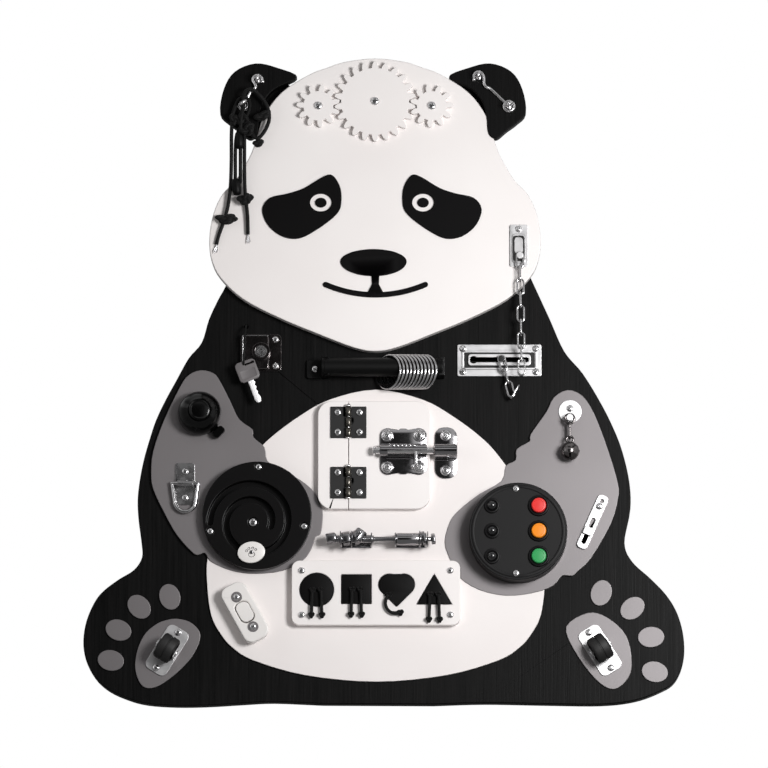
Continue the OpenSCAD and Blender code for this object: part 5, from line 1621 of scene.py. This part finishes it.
@dataclass
class NutAndBolt:
    """A threaded rod on four brackets with nuts, washers, a thin rod, a sleeve, a wing nut."""

    z: float = -245.5
    axis_h: float = 34.0
    thread: tuple[float, float] = (-56.5, -9.5)
    thread_r: float = 4.0
    pitch: float = 1.75

    def along(self, piece: bpy.types.Object, x: float, roll: float = 0.0) -> bpy.types.Object:
        """Seats a turned piece on the rod's axis, its bottom at x."""
        return seated(piece, x, self.z, self.axis_h, 0, (0, 90, roll))

    def hexagon(self, radius: float, thick: float) -> bpy.types.Object:
        """Makes a nut: six flats with both faces chamfered round."""
        nut = turned([(radius * 0.93, 0), (radius, 0.35), (radius, thick - 0.35),
                      (radius * 0.93, thick)], 6)
        modify(nut, "BEVEL", width=0.35 * MM, segments=2)
        return smooth(nut, 30)

    def threads(self) -> bpy.types.Object:
        """Cuts the thread as a helix of wire on the rod's core."""
        low, high = self.thread
        core = turned([(self.thread_r - 0.7, 0), (self.thread_r - 0.4, 0.4),
                       (self.thread_r - 0.4, high - low - 0.4), (self.thread_r - 0.7, high - low)],
                      24)
        turns = (high - low - 1.2) / self.pitch
        coil = []
        for k in range(int(turns * 14)):
            a = 2 * math.pi * k / 14
            coil.append((3.55 * math.cos(a), 3.55 * math.sin(a), 0.6 + self.pitch * k / 14))
        helix = wire(coil, 0.5, sides=1, bend=False)
        return self.along(join([core, helix], "threads"), low)

    def brackets(self) -> bpy.types.Object:
        """Bends the two strips with their four upright round ears."""
        made = []
        for x in (-42.0, -12.0, 12.0, 42.0):
            rim = ring_outline(6.5, 0, 0, 13, 0, 180) + [(-6.5, -15.6), (6.5, -15.6)]
            ear = sheet_metal([rim, ring_outline(3.2, steps=20)], -0.75, 1.5, 0.3)
            made.append(seated(smooth(ear, 35), x, self.z, self.axis_h, 0, (90, 0, 90)))
        for x in (-27.0, 27.0):
            strip = sheet_metal([rounded_outline(31.5, 13, 1.5)], 0, 1.5, 0.3)
            made.append(seated(smooth(strip, 35), x, self.z, H_BELLY))
        return join(made, "brackets")

    def build(self) -> None:
        """Makes the rod with everything that is fixed on it, and the wing nut."""
        made = [self.threads(), self.brackets()]
        thin = turned([(2.2, 0), (2.4, 0.3), (2.4, 58.4), (2.1, 59)], 24)
        made.append(self.along(smooth(thin, 40), -10.0))
        end = turned([(5.0, 0), (5.6, 0.5), (5.6, 8.6), (4.9, 9.6), (3.6, 10.0)], 6)
        modify(end, "BEVEL", width=0.3 * MM, segments=2)
        made.append(self.along(smooth(end, 30), -56.8, 12))
        for x, radius, thick in ((-43.4, 8.2, 1.0), (-32.2, 8.4, 1.0), (35.6, 8.4, 1.2),
                                 (43.4, 7.8, 1.0)):
            washer = turned([(radius - 0.2, 0), (radius, 0.2), (radius, thick - 0.2),
                             (radius - 0.2, thick)], 32)
            made.append(self.along(smooth(washer, 30), x))
        for x, radius, thick, roll in ((-40.6, 7.2, 7.4, 8), (-30.8, 7.3, 5.6, 25),
                                       (37.4, 7.2, 5.2, 18)):
            made.append(self.along(self.hexagon(radius, thick), x, roll))
        disc = turned([(5.0, 0), (5.6, 0.4), (5.6, 3.4), (4.9, 4.0)], 6)
        modify(disc, "BEVEL", width=0.3 * MM, segments=2)
        made.append(self.along(smooth(disc, 30), 47.6, 5))
        rod = join(made, "threaded_rod_set")
        fit(rod, Body.BOARD, DARK_NICKEL, ("threaded_rod",))
        sleeve = turned([(4.6, 0), (5.8, 0.9), (6.1, 1.8), (6.1, 24.4), (5.7, 25.2), (4.6, 25.6)],
                        36)
        smooth(sleeve, 40)
        self.along(sleeve, 12.4)
        sleeve.name = "rod_sleeve"
        fit(sleeve, Body.BOARD, MIRROR_STEEL)
        self.wing()

    def wing(self) -> None:
        """Casts the wing nut: a coned boss with two leaning rounded wings."""
        boss = turned([(6.6, 0), (7.0, 0.5), (7.0, 2.5), (5.8, 9.6), (5.4, 10.4)], 28)
        cut(boss, turned([(4.1, -2), (4.1, 14)], 24))
        made = [smooth(boss, 35)]
        for side in (-1, 1):
            rim = [(4.6, 1.2), (6.2, 0.8), (9.4, 2.0), (13.2, 3.6), (14.3, 5.2), (14.2, 7.4),
                   (12.9, 8.8), (11.0, 9.2), (8.6, 8.8), (5.2, 8.2)]
            blade = sheet_metal([[(side * x, y) for x, y in (rim if side > 0 else rim[::-1])]],
                                -1.4, 2.8, 0.8)
            blade.rotation_euler = (math.radians(90), 0, 0)
            made.append(smooth(settle(blade), 40))
        nut = join(made, "wing_nut_cast")
        self.along(nut, -27.0, 55)
        fit(nut, "wing_nut", DARK_NICKEL, ("wing_nut",))


# ---- shape puzzle and casters ------------------------------------------------------------


@dataclass
class ShapePegs:
    """Four black shapes with eased edges, each with its knotted cord pull."""

    pull_r: float = 1.6
    top: float = 30.6

    def strand(self, points: Sequence[tuple[float, float, float]]) -> bpy.types.Object:
        """Lays one strand of a pull."""
        return wire(points, self.pull_r, sides=2)

    def pull(self, heart: bool) -> list[bpy.types.Object]:
        """Makes the strands and knots of one pull, about the shape's own middle.

        Args:
            heart: whether it is the heart's, which hangs as one curved tail.

        Returns:
            Its pieces on the bench.
        """
        made = []
        if heart:
            arc = [(-0.6 + 10.5 * math.cos(a), -12 + 10.5 * math.sin(a), 0)
                   for a in (math.radians(131 + 165 * k / 8) for k in range(9))]
            made.append(self.strand(arc))
            ends = [(-7.5, -4, 2.6), (3.9, -21.5, 2.6)]
        else:
            made += [self.strand([(s * 4, -1, 0.2), (s * 4.4, -4, 1.2), (s * 4.7, -12, 0.6),
                                  (s * 5.2, -25, 0)]) for s in (-1, 1)]
            ends = [(s * x, y, 2.5) for s in (-1, 1) for x, y in ((4, -1), (5.3, -26))]
        for x, y, size in ends:
            tie = knot(size, 1.15)
            tie.location = (x * MM, y * MM, 0)
            made.append(settle(tie))
        return made

    def build(self) -> None:
        """Makes the four pegs and their pulls."""
        spots = {"circle": (-66.5, -295.5), "square": (-27.0, -295.0), "heart": (13.0, -297.5),
                 "triangle": (50.5, -300.0)}
        for shape, (x, z) in spots.items():
            node = f"{shape}_peg"
            flat = eased_copy(node, f"{shape}_shape", 0.0)
            pick(flat)
            bpy.ops.object.mode_set(mode="EDIT")
            bpy.ops.mesh.select_all(action="SELECT")
            bpy.ops.mesh.bisect(plane_co=at(x, z, self.top - 0.75), plane_no=(0, 1, 0),
                                use_fill=True, clear_inner=True)
            bpy.ops.object.mode_set(mode="OBJECT")
            modify(flat, "BEVEL", width=0.5 * MM, segments=3, limit_method="ANGLE",
                   angle_limit=math.radians(50))
            smooth(flat, 30)
            fit(flat, node, PEG_PAINT, (node,))
            pull = seated(join(self.pull(shape == "heart"), f"{shape}_pull"), x, z, self.top + 1)
            fit(pull, node, BraidedCord(f"{shape}_pull_braid", "#0a0909", 0.6, 0.2, run_mm=26))


@dataclass
class Casters:
    """Two fixed casters: a pressed plate with a folded fork and a wide rubber wheel."""

    place: tuple[float, float] = (215.5, -355.0)
    tilt: float = -58.2
    axis_h: float = 32.6
    wheel_r: float = 13.5
    wheel_w: float = 17.0

    def wheel(self, side: int, node: str) -> None:
        """Turns one wheel with a rounded tread, a groove down its middle and dished sides.

        Args:
            side: one for the right sole, minus one for the left.
            node: the CAD wheel's name.
        """
        r, half = self.wheel_r, self.wheel_w / 2
        tread = turned([(2.2, -half), (4.6, -half), (4.8, -half + 1.4), (9.6, -half + 1.4),
                        (10.2, -half), (11.6, -half), (r - 0.5, -half + 1.0),
                        (r, -half + 2.4), (r, -0.9), (r - 0.8, -0.5), (r - 0.8, 0.5), (r, 0.9),
                        (r, half - 2.4), (r - 0.5, half - 1.0), (11.6, half), (10.2, half),
                        (9.6, half - 1.4), (4.8, half - 1.4), (4.6, half), (2.2, half)], 56)
        smooth(tread, 35)
        wheel = seated(tread, side * self.place[0], self.place[1], self.axis_h,
                       side * self.tilt, (90, 0, 0))
        wheel.name = node + "_tyre"
        fit(wheel, node, BLACK_RUBBER, (node,))

    def build(self) -> None:
        """Makes both wheels and rounds the forks."""
        self.wheel(1, "caster_wheel_right")
        self.wheel(-1, "caster_wheel_left")
        forks = eased_copy("caster_forks", "caster_forks_eased", 0.35)
        fit(forks, Body.BOARD, ZINC, ("caster_forks",))


# ---- studio ------------------------------------------------------------------------------


@dataclass
class Studio:
    """The camera, the lamps, the white surroundings and the pale floor."""

    target: tuple[float, float, float] = (0.0005, -0.020, -0.0862)
    distance: float = 10.0
    azimuth: float = 0.0
    elevation: float = -10.0
    view_width: float = 0.768
    floor_z: float = -2.3
    soft_light: float = 0.2
    card_light: float = 0.75
    side_cards: tuple[tuple[float, float], ...] = (
        (0.0, 0.3), (0.16, 0.3), (0.22, 0.8), (0.27, 0.8), (0.31, 0.05), (0.56, 0.03),
        (0.60, 1.0), (0.66, 1.0), (0.69, 0.05), (0.82, 0.12), (0.87, 1.0), (1.0, 0.7))
    high_cards: tuple[tuple[float, float], ...] = (
        (0.0, 0.5), (0.18, 0.5), (0.24, 0.04), (0.66, 0.03), (0.70, 1.0), (0.78, 1.0),
        (0.81, 0.05), (0.9, 0.1), (0.94, 0.9), (1.0, 0.9))

    def camera(self) -> None:
        """Sets the camera low in front of the board, with a long lens."""
        a, e = math.radians(self.azimuth), math.radians(self.elevation)
        back = Vector((math.sin(a) * math.cos(e), -math.cos(a) * math.cos(e), math.sin(e)))
        data = bpy.data.cameras.new("camera")
        camera = bpy.data.objects.new("camera", data)
        bpy.context.scene.collection.objects.link(camera)
        camera.location = Vector(self.target) + back * self.distance
        camera.rotation_euler = back.to_track_quat("Z", "Y").to_euler()
        data.sensor_fit = "HORIZONTAL"
        data.angle = 2 * math.atan(self.view_width / 2 / self.distance)
        data.clip_end = 30
        bpy.context.scene.camera = camera

    def lamp(self, name: str, place: tuple[float, float, float], size: float,
             watts: float, spread: float = 180.0,
             aim: tuple[float, float, float] | None = None) -> None:
        """Adds a square soft lamp that faces the board, with a grid that narrows its beam."""
        data = bpy.data.lights.new(name, "AREA")
        data.size = size
        data.energy = watts
        data.spread = math.radians(spread)
        lamp = bpy.data.objects.new(name, data)
        bpy.context.scene.collection.objects.link(lamp)
        lamp.location = place
        aim = Vector(place) - Vector(self.target if aim is None else aim)
        lamp.rotation_euler = aim.to_track_quat("Z", "Y").to_euler()

    def world(self) -> None:
        """Gives plain soft light with white and dark cards for the metal to mirror, and a
        white background to the camera."""
        world = bpy.data.worlds.new("studio")
        world.use_nodes = True
        bpy.context.scene.world = world
        world.node_tree.nodes.clear()
        where = add(world, "ShaderNodeTexCoord")
        split = add(world, "ShaderNodeSeparateXYZ", {"Vector": where.outputs["Generated"]})
        levels = []
        for axis, cards in (("X", self.side_cards), ("Z", self.high_cards)):
            side = add(world, "ShaderNodeMapRange", {
                "Value": split.outputs[axis], "From Min": -1.0, "From Max": 1.0})
            ramp = add(world, "ShaderNodeValToRGB", {"Fac": side.outputs["Result"]})
            steps = ramp.color_ramp.elements
            for step, (place, level) in zip(steps, (cards[0], cards[-1])):
                step.position, step.color = place, (level, level, level, 1)
            for place, level in cards[1:-1]:
                steps.new(place).color = (level, level, level, 1)
            levels.append(ramp.outputs["Color"])
        cards = add(world, "ShaderNodeMath", {0: levels[0], 1: levels[1]}, operation="MAXIMUM")
        path = add(world, "ShaderNodeLightPath")
        seen = add(world, "ShaderNodeBackground", {"Color": (1, 1, 1, 1), "Strength": 1.0})
        soft = add(world, "ShaderNodeBackground",
                   {"Color": (1, 1, 1, 1), "Strength": self.soft_light})
        glow = add(world, "ShaderNodeBackground",
                   {"Color": cards.outputs["Value"], "Strength": self.card_light})
        room = add(world, "ShaderNodeMixShader", {
            0: path.outputs["Is Glossy Ray"], 1: soft.outputs[0], 2: glow.outputs[0]})
        mix = add(world, "ShaderNodeMixShader", {
            0: path.outputs["Is Camera Ray"], 1: room.outputs[0], 2: seen.outputs[0]})
        add(world, "ShaderNodeOutputWorld", {"Surface": mix.outputs[0]})

    def floor(self) -> None:
        """Lays a pale floor below the board."""
        deselect_all()
        bpy.ops.mesh.primitive_plane_add(size=12, location=(0, 0, self.floor_z))
        floor = bpy.context.object
        floor.name = "floor"
        material = bpy.data.materials.new("pale_floor")
        material.use_nodes = True
        shader = material.node_tree.nodes["Principled BSDF"]
        shader.inputs["Base Color"].default_value = hex_colour("#f2f2f2")
        shader.inputs["Roughness"].default_value = 0.8
        floor.data.materials.append(material)

    def build(self) -> None:
        """Sets up the whole studio."""
        self.camera()
        self.world()
        self.floor()
        self.lamp("key_lamp", (0.724, -1.3, -0.106), 0.42, 8.6, 120, (0.1, 0.0, -0.08))
        self.lamp("fill_lamp", (-2.2, -1.6, 0.2), 1.2, 4)
        bpy.context.scene.view_settings.view_transform = "Standard"


def main() -> None:
    """Builds the studio and every sub-assembly in order."""
    logging.basicConfig(level=logging.INFO, format="%(name)s: %(message)s")
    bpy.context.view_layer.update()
    Studio().build()
    EarLace().build()
    LockAndKey().build()
    for part in EASED + PLAIN:
        part.build()
    BoardFasteners().build()
    CabinHook("right", (126.0, 195.0), (95.5, 225.0)).build()
    CabinHook("left", (-140.5, 196.5), (-126.5, 221.5)).build()
    ChainHardware().build()
    RingBar().build()
    BicycleBell().build()
    MazeSlider().build()
    LightBox().build()
    RockerSwitch().build()
    DoorHinges().build()
    BarrelBolt().build()
    NutAndBolt().build()
    ShapePegs().build()
    Casters().build()


if __name__ == "__main__":
    main()
